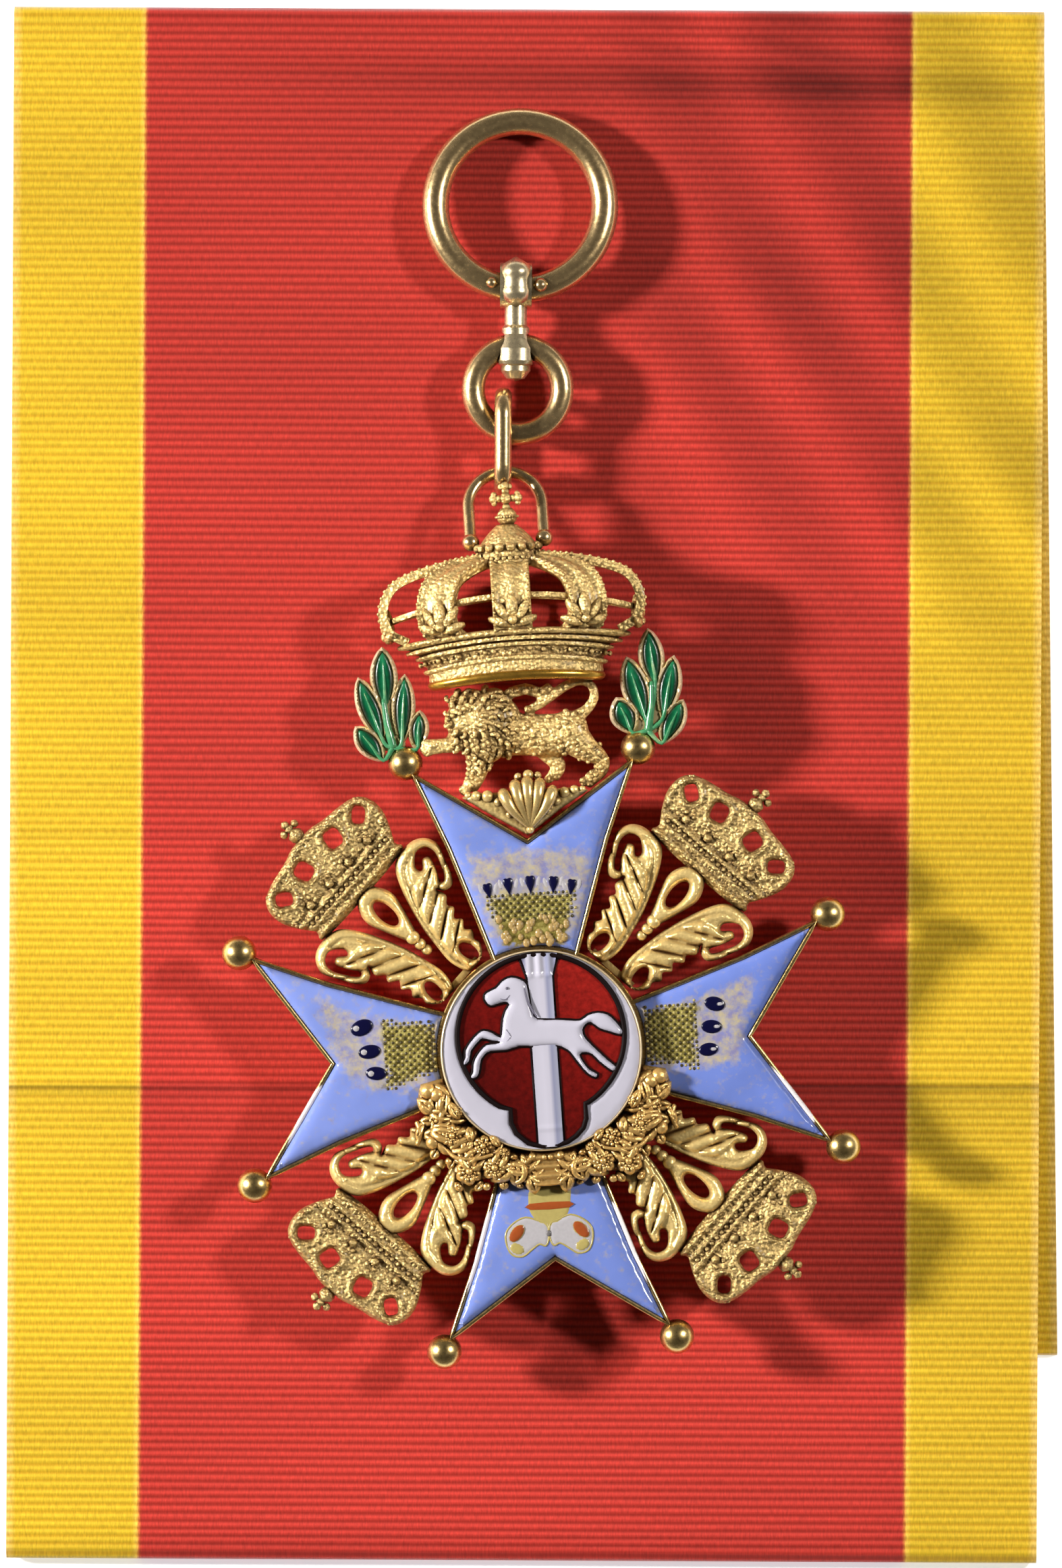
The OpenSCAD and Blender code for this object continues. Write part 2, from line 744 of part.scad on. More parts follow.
horse_points = [
    [-5.0, 5.4], [-4.6, 6.0], [-3.7, 6.6], [-2.7, 7.3], [-1.9, 7.0], [-1.1, 6.3],
    [-0.7, 4.5], [0, 3], [1.7, 2.9], [3.6, 2.7], [4.7, 3.2], [5.8, 3.4], [6.6, 3.0],
    [7.3, 2.2], [7.8, 1.5], [7.0, 1.3], [6.0, 1.6], [5.0, 2.3], [4.3, 1.8], [4.3, 0.6],
    [5.3, -0.4], [6.9, -1.9], [6.7, -2.4], [6.0, -2.1], [4.6, -0.8], [4.0, -0.7],
    [3.7, -1.0], [5.0, -2.4], [4.7, -2.8], [4.0, -2.4], [2.9, -0.9], [2.2, 0.1],
    [1, 0.3], [-1.5, 0.4], [-4.4, 0.3], [-5.6, -0.2], [-6.1, -1.3], [-6.4, -2.0],
    [-7.0, -2.2], [-6.9, -1.4], [-6.3, -0.1], [-5.2, 0.8], [-4.3, 1.0], [-5.5, 1.4],
    [-6.4, 0.6], [-6.9, -0.4], [-7.3, -0.6], [-7.2, 0.4], [-6.5, 1.5], [-5.6, 2.1],
    [-4.3, 1.9], [-3.7, 2.6], [-3.4, 3.9], [-2.9, 4.9], [-3.7, 4.8], [-4.5, 4.8]
];

module medallion_horse() {
    color(white) on_badge() plate(field_z + seat, field_z + 0.75) polygon(smooth(horse_points, 2));
}

// Garland of flowers along the lower half of the medallion

// Angle from the downward line, distance from the centre, height and radius
garland_blooms = [
    [0, 11.4, 2.5, 1.35], [17, 11.5, 2.4, 1.15], [33, 11.9, 2.4, 1.4],
    [48, 12.1, 2.3, 1.15], [60, 12.3, 2.3, 1.2], [74, 11.9, 2.3, 0.95]
];

module garland() {
    inner = med_r + seat;
    base_z = enamel_z + seat;
    color(gold) on_badge() intersection() {
        union() {
            for (side = [-1, 1], b = garland_blooms)
                bloom(side * b[0], b[1], b[2], b[3]);
            for (side = [-1, 1], k = [0 : 8])
                hull() {
                    garland_bead(side * 9 * k, 11.2, 2.1, 1.1);
                    garland_bead(side * 9 * (k + 1), 11.2, 2.1, 1.1);
                }
        }
        translate([0, 0, base_z]) difference() {
            cylinder(r = 16, h = 6, $fn = 60);
            translate([0, 0, -1]) cylinder(r = inner, h = 8, $fn = 60);
        }
    }
}

module garland_bead(turn, radius, z, r, fn = 8) {
    translate([radius * sin(turn), -radius * cos(turn), z]) sphere(r = r, $fn = fn);
}

module bloom(turn, radius, z, r) {
    garland_bead(turn, radius, z, r, 10);
    for (k = [0 : 72 : 288])
        translate([
            radius * sin(turn) + r * 0.8 * cos(k), -radius * cos(turn) + r * 0.8 * sin(k), z - 0.2
        ]) sphere(r = r * 0.58, $fn = 6);
}

sash_ribbon();
suspension_ring();
ring_clasp();
small_ring();
long_link();
crown_bail();
crown();
lion();
shell_base();
cross_frame();
arm_enamel(0);  // enamel_top
arm_enamel(90);  // enamel_left
arm_enamel(180);  // enamel_bottom
arm_enamel(270);  // enamel_right
reverse_boss();
corner_ornament(45);  // corner_ne
corner_ornament(135);  // corner_nw
corner_ornament(225);  // corner_sw
corner_ornament(315);  // corner_se
laurel_frame(laurel_left_leaves, -1);  // laurel_left
laurel_frame(laurel_right_leaves, 1);  // laurel_right
laurel_enamel(laurel_left_leaves);  // laurel_enamel_left
laurel_enamel(laurel_right_leaves);  // laurel_enamel_right
medallion_bezel();
medallion_white();
medallion_red();
medallion_column();
medallion_horse();
garland();
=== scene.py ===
"""Sash badge of an order, lying on its folded silk sash, seen from straight above.

Lengths in this file are millimetres until a piece is set down in the frame, which is in metres.
The badge's own pieces are drawn round the medallion's centre, with +Y towards the crown.
"""

import math
from types import SimpleNamespace

import bpy
import numpy as np
from bpy.props import FloatProperty, FloatVectorProperty, PointerProperty
from mathutils import Matrix, Vector, geometry


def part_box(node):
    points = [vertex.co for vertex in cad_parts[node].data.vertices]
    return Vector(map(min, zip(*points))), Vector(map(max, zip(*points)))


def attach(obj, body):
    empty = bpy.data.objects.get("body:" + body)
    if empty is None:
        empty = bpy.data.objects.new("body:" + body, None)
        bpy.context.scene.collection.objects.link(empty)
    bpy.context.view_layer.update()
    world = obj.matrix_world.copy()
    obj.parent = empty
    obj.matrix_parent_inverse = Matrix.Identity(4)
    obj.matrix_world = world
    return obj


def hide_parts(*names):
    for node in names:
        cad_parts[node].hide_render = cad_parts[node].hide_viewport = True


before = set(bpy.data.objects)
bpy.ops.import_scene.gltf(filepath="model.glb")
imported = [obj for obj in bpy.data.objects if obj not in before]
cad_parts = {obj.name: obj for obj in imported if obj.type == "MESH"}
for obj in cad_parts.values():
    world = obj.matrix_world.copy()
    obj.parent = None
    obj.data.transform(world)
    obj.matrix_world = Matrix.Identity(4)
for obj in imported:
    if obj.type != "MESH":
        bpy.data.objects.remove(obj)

bl_info = {
    "name": "Sash Badge",
    "version": (1, 0, 0),
    "blender": (4, 5, 0),
    "location": "3D View > Sidebar > Badge",
    "description": "Builds an enamelled sash badge lying on its folded silk sash",
    "category": "Add Mesh",
}

MM = 0.001
QUARTER = math.pi / 2
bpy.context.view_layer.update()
BEZEL_LOW, BEZEL_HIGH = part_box("medallion_bezel")
CROSS_LOW, CROSS_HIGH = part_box("cross_frame")
SASH_LOW, SASH_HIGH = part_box("sash_ribbon")
# The badge lies turned on its sash by this angle
BADGE_TURN = math.radians(4.1)
BADGE_AT = (BEZEL_LOW + BEZEL_HIGH) / 2
BADGE_AT.z = (CROSS_LOW.z + CROSS_HIGH.z) / 2
IN_FRAME = Matrix.Scale(MM, 4)
ON_BADGE = Matrix.Translation(BADGE_AT) @ Matrix.Rotation(BADGE_TURN, 4, "Z") @ IN_FRAME


# Sizes and colours that a user would change


def size(name, description, default, unit="LENGTH"):
    return FloatProperty(
        name=name, description=description, default=default, unit=unit, precision=5
    )


def tint(name, description, default):
    return FloatVectorProperty(
        name=name, description=description, default=default, subtype="COLOR"
    )


class SashSettings(bpy.types.PropertyGroup):
    """The silk sash."""

    rib_pitch: size("Rib pitch", "Distance between two cross ribs", 0.77 * MM)
    stripe: size("Stripe", "Width of each yellow edge", 12.8 * MM)
    slip: size("Slip", "How far the under layer has slipped sideways", 2.0 * MM)
    free_end: size("Free end", "Height of the under layer's end above the lower fold", 20.6 * MM)
    tail: size("Tail", "Length that is turned under at the lower fold", 15.0 * MM)
    red: tint("Red", "Colour of the middle of the sash", (0.485, 0.037, 0.0265))
    yellow: tint("Yellow", "Colour of the sash's edges", (0.705, 0.462, 0.025))


class CrossSettings(bpy.types.PropertyGroup):
    """The four arms, their enamel and the balls."""

    ball_reach: size("Ball reach", "Distance along an arm to its balls", 28.85 * MM)
    ball_side: size("Ball side", "Distance of a ball from the arm's middle", 11.4 * MM)
    ball_d: size("Ball", "Diameter of a ball", 3.4 * MM)
    notch: size("Notch", "Distance to the notch between two points", 20.7 * MM)
    edge: size("Edge", "Width of the gold edge", 0.45 * MM)
    blue: tint("Blue", "Colour of the arms' enamel", (0.165, 0.235, 0.60))


class MedallionSettings(bpy.types.PropertyGroup):
    """The medallion and its figures."""

    radius: size("Radius", "Outer radius of the bezel", 9.85 * MM)
    field: size("Field", "Radius of the red field", 8.0 * MM)
    tongue: size("Tongue", "Half width of the field's tongue", 3.7 * MM)
    column: size("Column", "Width of the column's shaft", 2.4 * MM)
    white: tint("White", "Colour of the white enamel", (0.49, 0.475, 0.56))
    red: tint("Red", "Colour of the red enamel", (0.13, 0.004, 0.0028))


class CrownSettings(bpy.types.PropertyGroup):
    """The large crown."""

    half_width: size("Half width", "Half width over the side arches", 13.3 * MM)
    half_depth: size("Half depth", "Half depth over the front arches", 5.5 * MM)
    arch: size("Arch", "Width of an arch", 3.8 * MM)


class FinishSettings(bpy.types.PropertyGroup):
    """Gilding and greens."""

    gold: tint("Gold", "Colour of the cast gilding", (0.86, 0.61, 0.235))
    ring_gold: tint("Ring gold", "Colour of the rings' worn gilding", (0.84, 0.60, 0.29))
    green: tint("Green", "Colour of the laurel leaves", (0.0, 0.085, 0.03))


class StageSettings(bpy.types.PropertyGroup):
    """Camera and light."""

    height: size("Height", "Camera's height above the sash", 1.15)
    span: size("Span", "Length of the view at the sash", 0.1542)
    lean: size("Lean", "How far the camera is rolled", math.radians(0.3), "ROTATION")
    key: size("Key", "Power of the left light", 0.96, "POWER")
    fill: size("Fill", "Power of the right light", 4.2, "POWER")


def lengths_of(group):
    """The lengths of a group of settings, in millimetres and in single precision."""
    settings = getattr(bpy.context.scene, "badge_" + group)
    found = {key: getattr(settings, key) for key in type(settings).__annotations__}
    lengths = {key: round(v / MM, 5) for key, v in found.items() if isinstance(v, float)}
    return SimpleNamespace(**{key: float(np.float32(v)) for key, v in lengths.items()})


def shade(group, name):
    """One of the colours of a group of settings."""
    return tuple(getattr(getattr(bpy.context.scene, "badge_" + group), name))


# Selecting, joining and setting down


def deselect():
    bpy.ops.object.select_all(action="DESELECT")


def pick(*objs):
    """Selects these objects alone, the first one active."""
    deselect()
    for obj in objs:
        obj.select_set(True)
    bpy.context.view_layer.objects.active = objs[0]
    return objs[0]


def join(name, objs):
    """One object out of several."""
    whole = pick(*objs)
    if len(objs) > 1:
        bpy.ops.object.join()
    whole.name = whole.data.name = name
    return whole


def smooth(obj, angle=40):
    pick(obj)
    bpy.ops.object.shade_smooth_by_angle(angle=math.radians(angle))
    return obj


def apply_modifiers(obj):
    pick(obj)
    for modifier in list(obj.modifiers):
        bpy.ops.object.modifier_apply(modifier=modifier.name)
    return obj


def edited(obj, *steps):
    """Runs these mesh operators on the whole of an object. Each is (operator, its settings)."""
    pick(obj)
    bpy.ops.object.mode_set(mode="EDIT")
    bpy.ops.mesh.select_all(action="SELECT")
    for operator, settings in steps:
        operator(**settings)
    bpy.ops.object.mode_set(mode="OBJECT")
    return obj


def outwards(obj):
    """Merges doubles and turns every face outwards."""
    return edited(
        obj, (bpy.ops.mesh.remove_doubles, {"threshold": 0.0001}),
        (bpy.ops.mesh.normals_make_consistent, {"inside": False}),
    )


def twin(obj, name):
    copy = obj.copy()
    copy.data = obj.data.copy()
    copy.name = name
    bpy.context.collection.objects.link(copy)
    return copy


def mirrored(obj, axis):
    """A copy of a piece on the other side of its middle."""
    copy = twin(obj, obj.name + "_twin")
    copy.data.transform(Matrix.Scale(-1, 4, axis))
    return outwards(copy)


def spots_of(obj):
    """The place of every vertex, in rows."""
    spots = np.empty(len(obj.data.vertices) * 3)
    obj.data.vertices.foreach_get("co", spots)
    return spots.reshape(-1, 3)


def lay_map(obj, name="place", places=None):
    """A UV map in millimetres: each vertex as seen from above, or at its given place."""
    mesh = obj.data
    corners = np.empty(len(mesh.loops), dtype=int)
    mesh.loops.foreach_get("vertex_index", corners)
    flat = spots_of(obj)[:, :2] if places is None else places
    mesh.uv_layers.new(name=name).data.foreach_set("uv", flat[corners].ravel())
    return obj


def mark(obj, name, values):
    """Keeps one number at each vertex for its finish to read."""
    obj.data.attributes.new(name, "FLOAT", "POINT").data.foreach_set("value", values)
    return obj


def set_down(obj, place, material, replaced=(), slot=None):
    """Puts a finished piece into the frame, unturned and unscaled, with its finish."""
    obj.data.transform(place)
    obj.data.materials.clear()
    obj.data.materials.append(material)
    obj.data.update()
    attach(obj, "root")
    if replaced:
        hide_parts(*replaced)
    return obj


def from_arrays(name, verts, faces):
    mesh = bpy.data.meshes.new(name)
    mesh.from_pydata([tuple(v) for v in verts], [], [tuple(int(i) for i in f) for f in faces])
    mesh.update()
    obj = bpy.data.objects.new(name, mesh)
    bpy.context.collection.objects.link(obj)
    return obj


def quads(rows, columns, round_rows=False, round_columns=True):
    """Faces of a net of vertices that closes round its rows or its columns."""
    return [
        (r * columns + c, r * columns + (c + 1) % columns,
         (r + 1) % rows * columns + (c + 1) % columns, (r + 1) % rows * columns + c)
        for r in range(rows - (not round_rows)) for c in range(columns - (not round_columns))
    ]


# Lines and outlines


def climb(value, start, length):
    """From 0 at the start up to 1 after this length."""
    return np.clip((value - start) / length, 0, 1)


def bell(value, width):
    """1 at nought, falling off at this width on both sides."""
    return np.exp(-(value / width) ** 2)


def rounded(points, steps=4, closed=True):
    """A line rounded through its points."""
    pts = np.array(points, float)
    n = len(pts)
    out = []
    for i in range(n if closed else n - 1):
        if closed:
            a, b, c, d = (pts[(i + k) % n] for k in (-1, 0, 1, 2))
        else:
            a, b, c, d = pts[max(i - 1, 0)], pts[i], pts[i + 1], pts[min(i + 2, n - 1)]
        for k in range(steps):
            t = k / steps
            out.append(0.5 * (
                2 * b + (c - a) * t + (2 * a - 5 * b + 4 * c - d) * t * t
                + (3 * b - a - 3 * c + d) * t ** 3
            ))
    if not closed:
        out.append(pts[-1])
    return np.array(out)


def resampled(points, spacing, closed=True):
    """The same line with its points no further apart than the spacing."""
    pts = np.array(points, float)
    n = len(pts)
    out = []
    for i in range(n if closed else n - 1):
        a, b = pts[i], pts[(i + 1) % n]
        steps = max(1, math.ceil(np.linalg.norm(b - a) / spacing))
        out += [a + (b - a) * k / steps for k in range(steps)]
    if not closed:
        out.append(pts[-1])
    return np.array(out)


def circle_line(radius, steps=48, start=0, sweep=360):
    turns = np.radians(start + np.arange(steps) * sweep / steps)
    return radius * np.stack([np.cos(turns), np.sin(turns)], 1)


def turned(points, turn):
    """Flat points turned about the centre."""
    c, s = math.cos(turn), math.sin(turn)
    return np.array(points, float) @ np.array([[c, s], [-s, c]])


def oval(centre, a, b, steps=28, turn=0.0, square=1.0):
    """An oval outline, or a squarer one where that number is below 1."""
    line = circle_line(1, steps)
    return turned(np.sign(line) * np.abs(line) ** square * (a, b), turn) + centre


def both_sides(points):
    """Half of a shape along the X axis made whole."""
    pts = np.array(points, float)
    return np.vstack([pts, pts[::-1] * (1, -1)])


def leaf_line(base, tip, half, steps=12):
    """A leaf from base to tip, widest a little past its middle."""
    along = tip - base
    side = np.array([-along[1], along[0]]) / np.linalg.norm(along)
    k = np.arange(steps + 1)[:, None] / steps
    width = half * np.sin(np.pi * k ** 1.1) ** 0.7
    middle = base + along * k
    return np.vstack([middle - side * width, (middle + side * width)[-2:0:-1]])


def inset(points, d):
    """An anticlockwise outline moved inwards."""
    pts = np.array(points, float)
    out = []
    for i, p in enumerate(pts):
        a, c = pts[i - 1], pts[(i + 1) % len(pts)]
        m = np.array([a[1] - p[1], p[0] - a[0]]) / np.linalg.norm(p - a)
        n = np.array([p[1] - c[1], c[0] - p[0]]) / np.linalg.norm(c - p)
        out.append(p + (m + n) * d / (1 + m @ n))
    return np.array(out)


def segments_of(loops):
    return np.vstack(loops), np.vstack([np.roll(loop, -1, axis=0) for loop in loops])


def edge_distance(points, a, b):
    """How far each point lies from the nearest segment."""
    best = np.full(len(points), 1e9)
    for start in range(0, len(a), 64):
        p, q = a[start:start + 64], b[start:start + 64]
        along = q - p
        t = ((points[:, None] - p) * along).sum(2) / np.maximum((along ** 2).sum(1), 1e-12)
        near = p + along * np.clip(t, 0, 1)[..., None]
        best = np.minimum(best, np.sqrt(((points[:, None] - near) ** 2).sum(2)).min(1))
    return best


def is_inside(points, a, b):
    """True for points inside the loops, by counting crossings."""
    hits = np.zeros(len(points), int)
    for p, q in zip(a, b):
        cross = (p[1] > points[:, 1]) != (q[1] > points[:, 1])
        with np.errstate(divide="ignore", invalid="ignore"):
            x = p[0] + (points[:, 1] - p[1]) * (q[0] - p[0]) / (q[1] - p[1])
        hits += cross & (points[:, 0] < x)
    return hits % 2 == 1


def share_inside(outline, x, y, soft):
    """From 0 at an outline up to 1 at this depth inside it."""
    a, b = segments_of([np.array(outline, float)])
    points = np.stack([x, y], 1)
    return is_inside(points, a, b) * np.clip(edge_distance(points, a, b) / soft, 0, 1)


def grain(x, y, coarse=1.0):
    """Uneven cast grain between -1 and 1."""
    x, y = x / coarse, y / coarse
    return np.sin(x * 8.3 + 2.6 * np.sin(y * 5.1)) * np.sin(y * 7.9 + 2.3 * np.sin(x * 4.7 + 1.3))


def dome(distance, width):
    """From 0 at an edge up to 1 at this width from it, as a quarter round."""
    t = np.clip(distance / width, 0, 1)
    return np.sqrt(1 - (1 - t) ** 2)


def level(base, rise=0.0, width=1.0):
    """An upper face at one height, rounded up from its edge where it has a rise."""
    return lambda x, y, d: base + rise * dome(d, width)


# Shapes


def relief(name, outline, foot, height, holes=(), spacing=0.3):
    """A closed cast piece: the outline is filled and extruded up from its foot, and its upper
    face is then shaped by height(x, y, distance from the edge)."""
    loops = [resampled(loop, spacing) for loop in (outline, *holes)]
    a, b = segments_of(loops)
    low, high = a.min(0), a.max(0)
    grid = np.array([
        (x + (spacing / 2 if row % 2 else 0), y)
        for row, y in enumerate(np.arange(low[1], high[1], spacing * 0.866))
        for x in np.arange(low[0], high[0], spacing)
    ])
    grid = grid[is_inside(grid, a, b)]
    if len(grid):
        grid = grid[edge_distance(grid, a, b) > spacing * 0.55]
    edges, first = [], 0
    for loop in loops:
        count = len(loop)
        edges += [(first + i, first + (i + 1) % count) for i in range(count)]
        first += count
    points = np.vstack([a, grid]) if len(grid) else a
    found = geometry.delaunay_2d_cdt([Vector(p) for p in points], edges, [], 1, 1e-6)
    flat, faces = np.array([tuple(v) for v in found[0]]), np.array(found[2])
    if holes:
        faces = faces[is_inside(flat[faces].mean(1), a, b)]
    obj = from_arrays(name, [(x, y, foot) for x, y in flat], faces)
    upwards = {"TRANSFORM_OT_translate": {"value": (0, 0, 1)}}
    edited(obj, (bpy.ops.mesh.extrude_region_move, upwards))
    spots = spots_of(obj)
    top = spots[:, 2] > foot + 0.5
    flat = spots[top][:, :2]
    spots[top, 2] = height(flat[:, 0], flat[:, 1], edge_distance(flat, a, b))
    obj.data.vertices.foreach_set("co", spots.ravel())
    obj.data.update()
    return obj


def wall_line(name, points, z, radius, rise=0.0, closed=True):
    """A round wire along a flat line, or a rounded wall where it has a rise."""
    curve = bpy.data.curves.new(name, "CURVE")
    curve.dimensions = "3D"
    curve.twist_mode = "Z_UP"
    curve.bevel_depth = radius
    curve.extrude = rise / 2
    curve.bevel_resolution = 3
    curve.use_fill_caps = not closed
    spline = curve.splines.new("POLY")
    spline.points.add(len(points) - 1)
    for point, (x, y) in zip(spline.points, points):
        point.co = (x, y, z, 1)
    spline.use_cyclic_u = closed
    obj = bpy.data.objects.new(name, curve)
    bpy.context.collection.objects.link(obj)
    pick(obj)
    bpy.ops.object.convert(target="MESH")
    return outwards(bpy.context.view_layer.objects.active)


def taper_wire(name, path, radii, sides=10):
    """A round wire in space whose radius changes along it, with rounded ends."""
    path = np.array(path, float)
    count = len(path)
    radii = np.interp(np.linspace(0, 1, count), np.linspace(0, 1, len(radii)), radii)
    along = np.gradient(path, axis=0)
    along /= np.linalg.norm(along, axis=1)[:, None]
    side = np.cross(along[0], (0, 0, 1) if abs(along[0][2]) < 0.9 else (1, 0, 0))
    round_it = circle_line(1, sides)
    verts = []
    for spot, way, radius in zip(path, along, radii):
        side = side - way * side.dot(way)
        side /= np.linalg.norm(side)
        verts.append(spot + radius * round_it @ np.stack([side, np.cross(side, way)]))
    verts += [path[0] - along[0] * radii[0] * 0.6, path[-1] + along[-1] * radii[-1] * 0.6]
    first, last = count * sides, (count - 1) * sides
    faces = quads(count, sides)
    faces += [(first, (i + 1) % sides, i) for i in range(sides)]
    faces += [(first + 1, last + i, last + (i + 1) % sides) for i in range(sides)]
    return outwards(from_arrays(name, np.vstack(verts), faces))


def curved_wire(name, points, radii, sides, steps=4):
    """A tapering wire along a line that is rounded through its points."""
    return taper_wire(name, rounded(points, steps, False), radii, sides)


def ball(name, place, radius, squash=(1, 1, 1), fine=2):
    """A smooth bead, flattened if asked."""
    bpy.ops.mesh.primitive_ico_sphere_add(subdivisions=fine, radius=radius, location=place)
    obj = bpy.context.view_layer.objects.active
    obj.name = name
    obj.scale = squash
    bpy.ops.object.transform_apply(location=True, rotation=True, scale=True)
    return obj


def scattered(name, base, places):
    """Copies of a base mesh joined in one. Each place is (x, y, z, size, turn about Z)."""
    spots = spots_of(base)
    polygons = [tuple(p.vertices) for p in base.data.polygons]
    verts, faces = [], []
    for k, (x, y, z, grow, turn) in enumerate(places):
        flat = turned(spots[:, :2], turn)
        verts.append(np.column_stack([flat, spots[:, 2]]) * grow + (x, y, z))
        faces += [tuple(k * len(spots) + i for i in p) for p in polygons]
    bpy.data.objects.remove(base)
    return from_arrays(name, np.vstack(verts), faces)


def beads(name, places, fine=2, squash=(1, 1, 1)):
    """Round beads. Each place is (x, y, z, radius)."""
    return scattered(name, ball(name, (0, 0, 0), 1, squash, fine), [(*p, 0) for p in places])


def lathe(name, profile, steps=96):
    """A solid turned about the Z axis from a profile of (radius, height)."""
    line = from_arrays(name, [(r, 0, z) for r, z in profile], [])
    pairs = np.arange(len(profile) - 1)
    line.data.edges.add(len(pairs))
    line.data.edges.foreach_set("vertices", np.stack([pairs, pairs + 1], 1).ravel())
    line.data.update()
    around = {"steps": steps, "angle": 2 * math.pi, "center": (0, 0, 0), "axis": (0, 0, 1)}
    return outwards(edited(line, (bpy.ops.mesh.spin, around)))


# Finishes


def scaled(colour, share):
    """A colour made paler or darker."""
    return tuple(float(c) for c in np.minimum(1, np.array(colour) * share))


class Finish:
    """A material and the short calls that wire its nodes."""

    def __init__(self, name):
        self.material = bpy.data.materials.new(name)
        self.material.use_nodes = True
        self.tree = self.material.node_tree
        self.shader = self.tree.nodes["Principled BSDF"]

    def give(self, socket, value):
        """Links an output to a socket, or sets the socket's number or colour."""
        if isinstance(value, bpy.types.NodeSocket):
            self.tree.links.new(value, socket)
        elif socket.type == "RGBA":
            socket.default_value = (*value, 1)
        else:
            socket.default_value = value

    def fill(self, node, values):
        """Gives each value to the node's input of that name, or else to its setting."""
        for key, value in values.items():
            words = key.replace("_", " ")
            found = [s for s in node.inputs if s.name.lower() == words]
            if found:
                self.give(found[0], value)
            else:
                setattr(node, key, value)

    def set(self, **values):
        self.fill(self.shader, values)

    def node(self, kind, output, **values):
        """Adds a node and gives one of its outputs."""
        made = self.tree.nodes.new("ShaderNode" + kind)
        self.fill(made, values)
        return made.outputs[output]

    def stretched(self, spot, *scale):
        return self.node("Mapping", "Vector", vector=spot, scale=scale)

    def place(self, scale=1000):
        """Object coordinates, in millimetres."""
        return self.stretched(self.node("TexCoord", "Object"), scale, scale, scale)

    def laid(self, axis=None):
        """The piece's own map in millimetres, or one of its two axes."""
        spot = self.node("TexCoord", "UV")
        return self.node("SeparateXYZ", axis, vector=spot) if axis else spot

    def read(self, name):
        """The number that each vertex keeps under this name."""
        return self.node("Attribute", "Fac", attribute_name=name)

    def noise(self, spot, scale, detail=2.0, rough=0.5):
        return self.node(
            "TexNoise", "Fac", vector=spot, scale=scale, detail=detail, roughness=rough
        )

    def ramp(self, value, stops):
        """A colour ramp. Each stop is (position, colour or grey)."""
        made = self.tree.nodes.new("ShaderNodeValToRGB")
        points = made.color_ramp.elements
        while len(points) < len(stops):
            points.new(0.5)
        for point, (at, tone) in zip(points, stops):
            point.position = at
            point.color = (*tone, 1) if hasattr(tone, "__len__") else (tone, tone, tone, 1)
        self.give(made.inputs["Fac"], value)
        return made.outputs["Color"]

    def mix(self, factor, low, high, blend="MIX"):
        made = self.tree.nodes.new("ShaderNodeMix")
        made.data_type, made.blend_type = "RGBA", blend
        # The factor and the two colours are the first, seventh and eighth inputs
        for at, value in ((0, factor), (6, low), (7, high)):
            self.give(made.inputs[at], value)
        return made.outputs[2]

    def times(self, low, high):
        return self.mix(1.0, low, high, "MULTIPLY")

    def maths(self, operation, *values):
        made = self.tree.nodes.new("ShaderNodeMath")
        made.operation = operation
        for socket, value in zip(made.inputs, values):
            self.give(socket, value)
        return made.outputs[0]

    def bump(self, height, strength, depth):
        made = self.node("Bump", "Normal", height=height, strength=strength, distance=depth * MM)
        self.set(normal=made)


def gilding(name, colour, deep, coarse, cell, rough, metal):
    """Gilded metal with a cast grain, painted paler on what stands out and brown in its recesses:
    the brown is painted shade, laid where ambient occlusion finds a recess.
    """
    made = Finish(name)
    spot = made.place()
    # Painted shade: the colour falls to the deep colour where ambient occlusion is strong
    occlusion = made.node("AmbientOcclusion", "AO", samples=6, distance=1.3 * MM)
    depth = made.ramp(occlusion, [(0.42, 0.0), (0.95, 1.0)])
    speckle = made.ramp(made.noise(spot, 2.1, 4, 0.7), [(0.36, 0.0), (0.6, 1.0)])
    tone = made.mix(speckle, scaled(colour, 0.6 if coarse > 0.05 else 0.84), colour)
    wear = made.ramp(made.noise(spot, 2.4, 4, 0.6), [(0.3, rough[0]), (0.75, rough[1])])
    made.set(base_color=made.mix(depth, deep, tone), metallic=metal, roughness=wear)
    made.set(coat_weight=0.25, coat_roughness=0.22)
    fine = made.noise(spot, 7.0, 3, 0.6)
    if coarse:
        cells = made.node("TexVoronoi", "Distance", vector=spot, scale=cell)
        made.bump(made.mix(0.35, made.ramp(cells, [(0.1, 1.0), (0.75, 0.0)]), fine), 1.0, coarse)
    else:
        made.bump(fine, 0.2, 0.03)
    return made


def paint(name, colour, rough=0.15, shine=0.5):
    """Opaque paint or plain enamel."""
    made = Finish(name)
    spot = made.place()
    tone = made.mix(made.noise(spot, 3.0, 2), colour, scaled(colour, 0.8))
    made.set(base_color=tone, roughness=rough, specular_ior_level=shine)
    made.bump(made.noise(spot, 2.0, 2), 0.3, 0.02)
    return made


def white_glaze(name, pale, dull, depth, rough):
    """White vitreous enamel with a slightly uneven fired surface."""
    made = Finish(name)
    spot, white = made.place(), shade("medallion", "white")
    tone = made.mix(made.noise(spot, 0.35, 2), scaled(white, pale), scaled(white, dull))
    made.set(base_color=tone, roughness=rough, coat_weight=0.6, coat_roughness=0.06)
    made.bump(made.noise(spot, 0.8, 2), 0.4, depth)
    return made


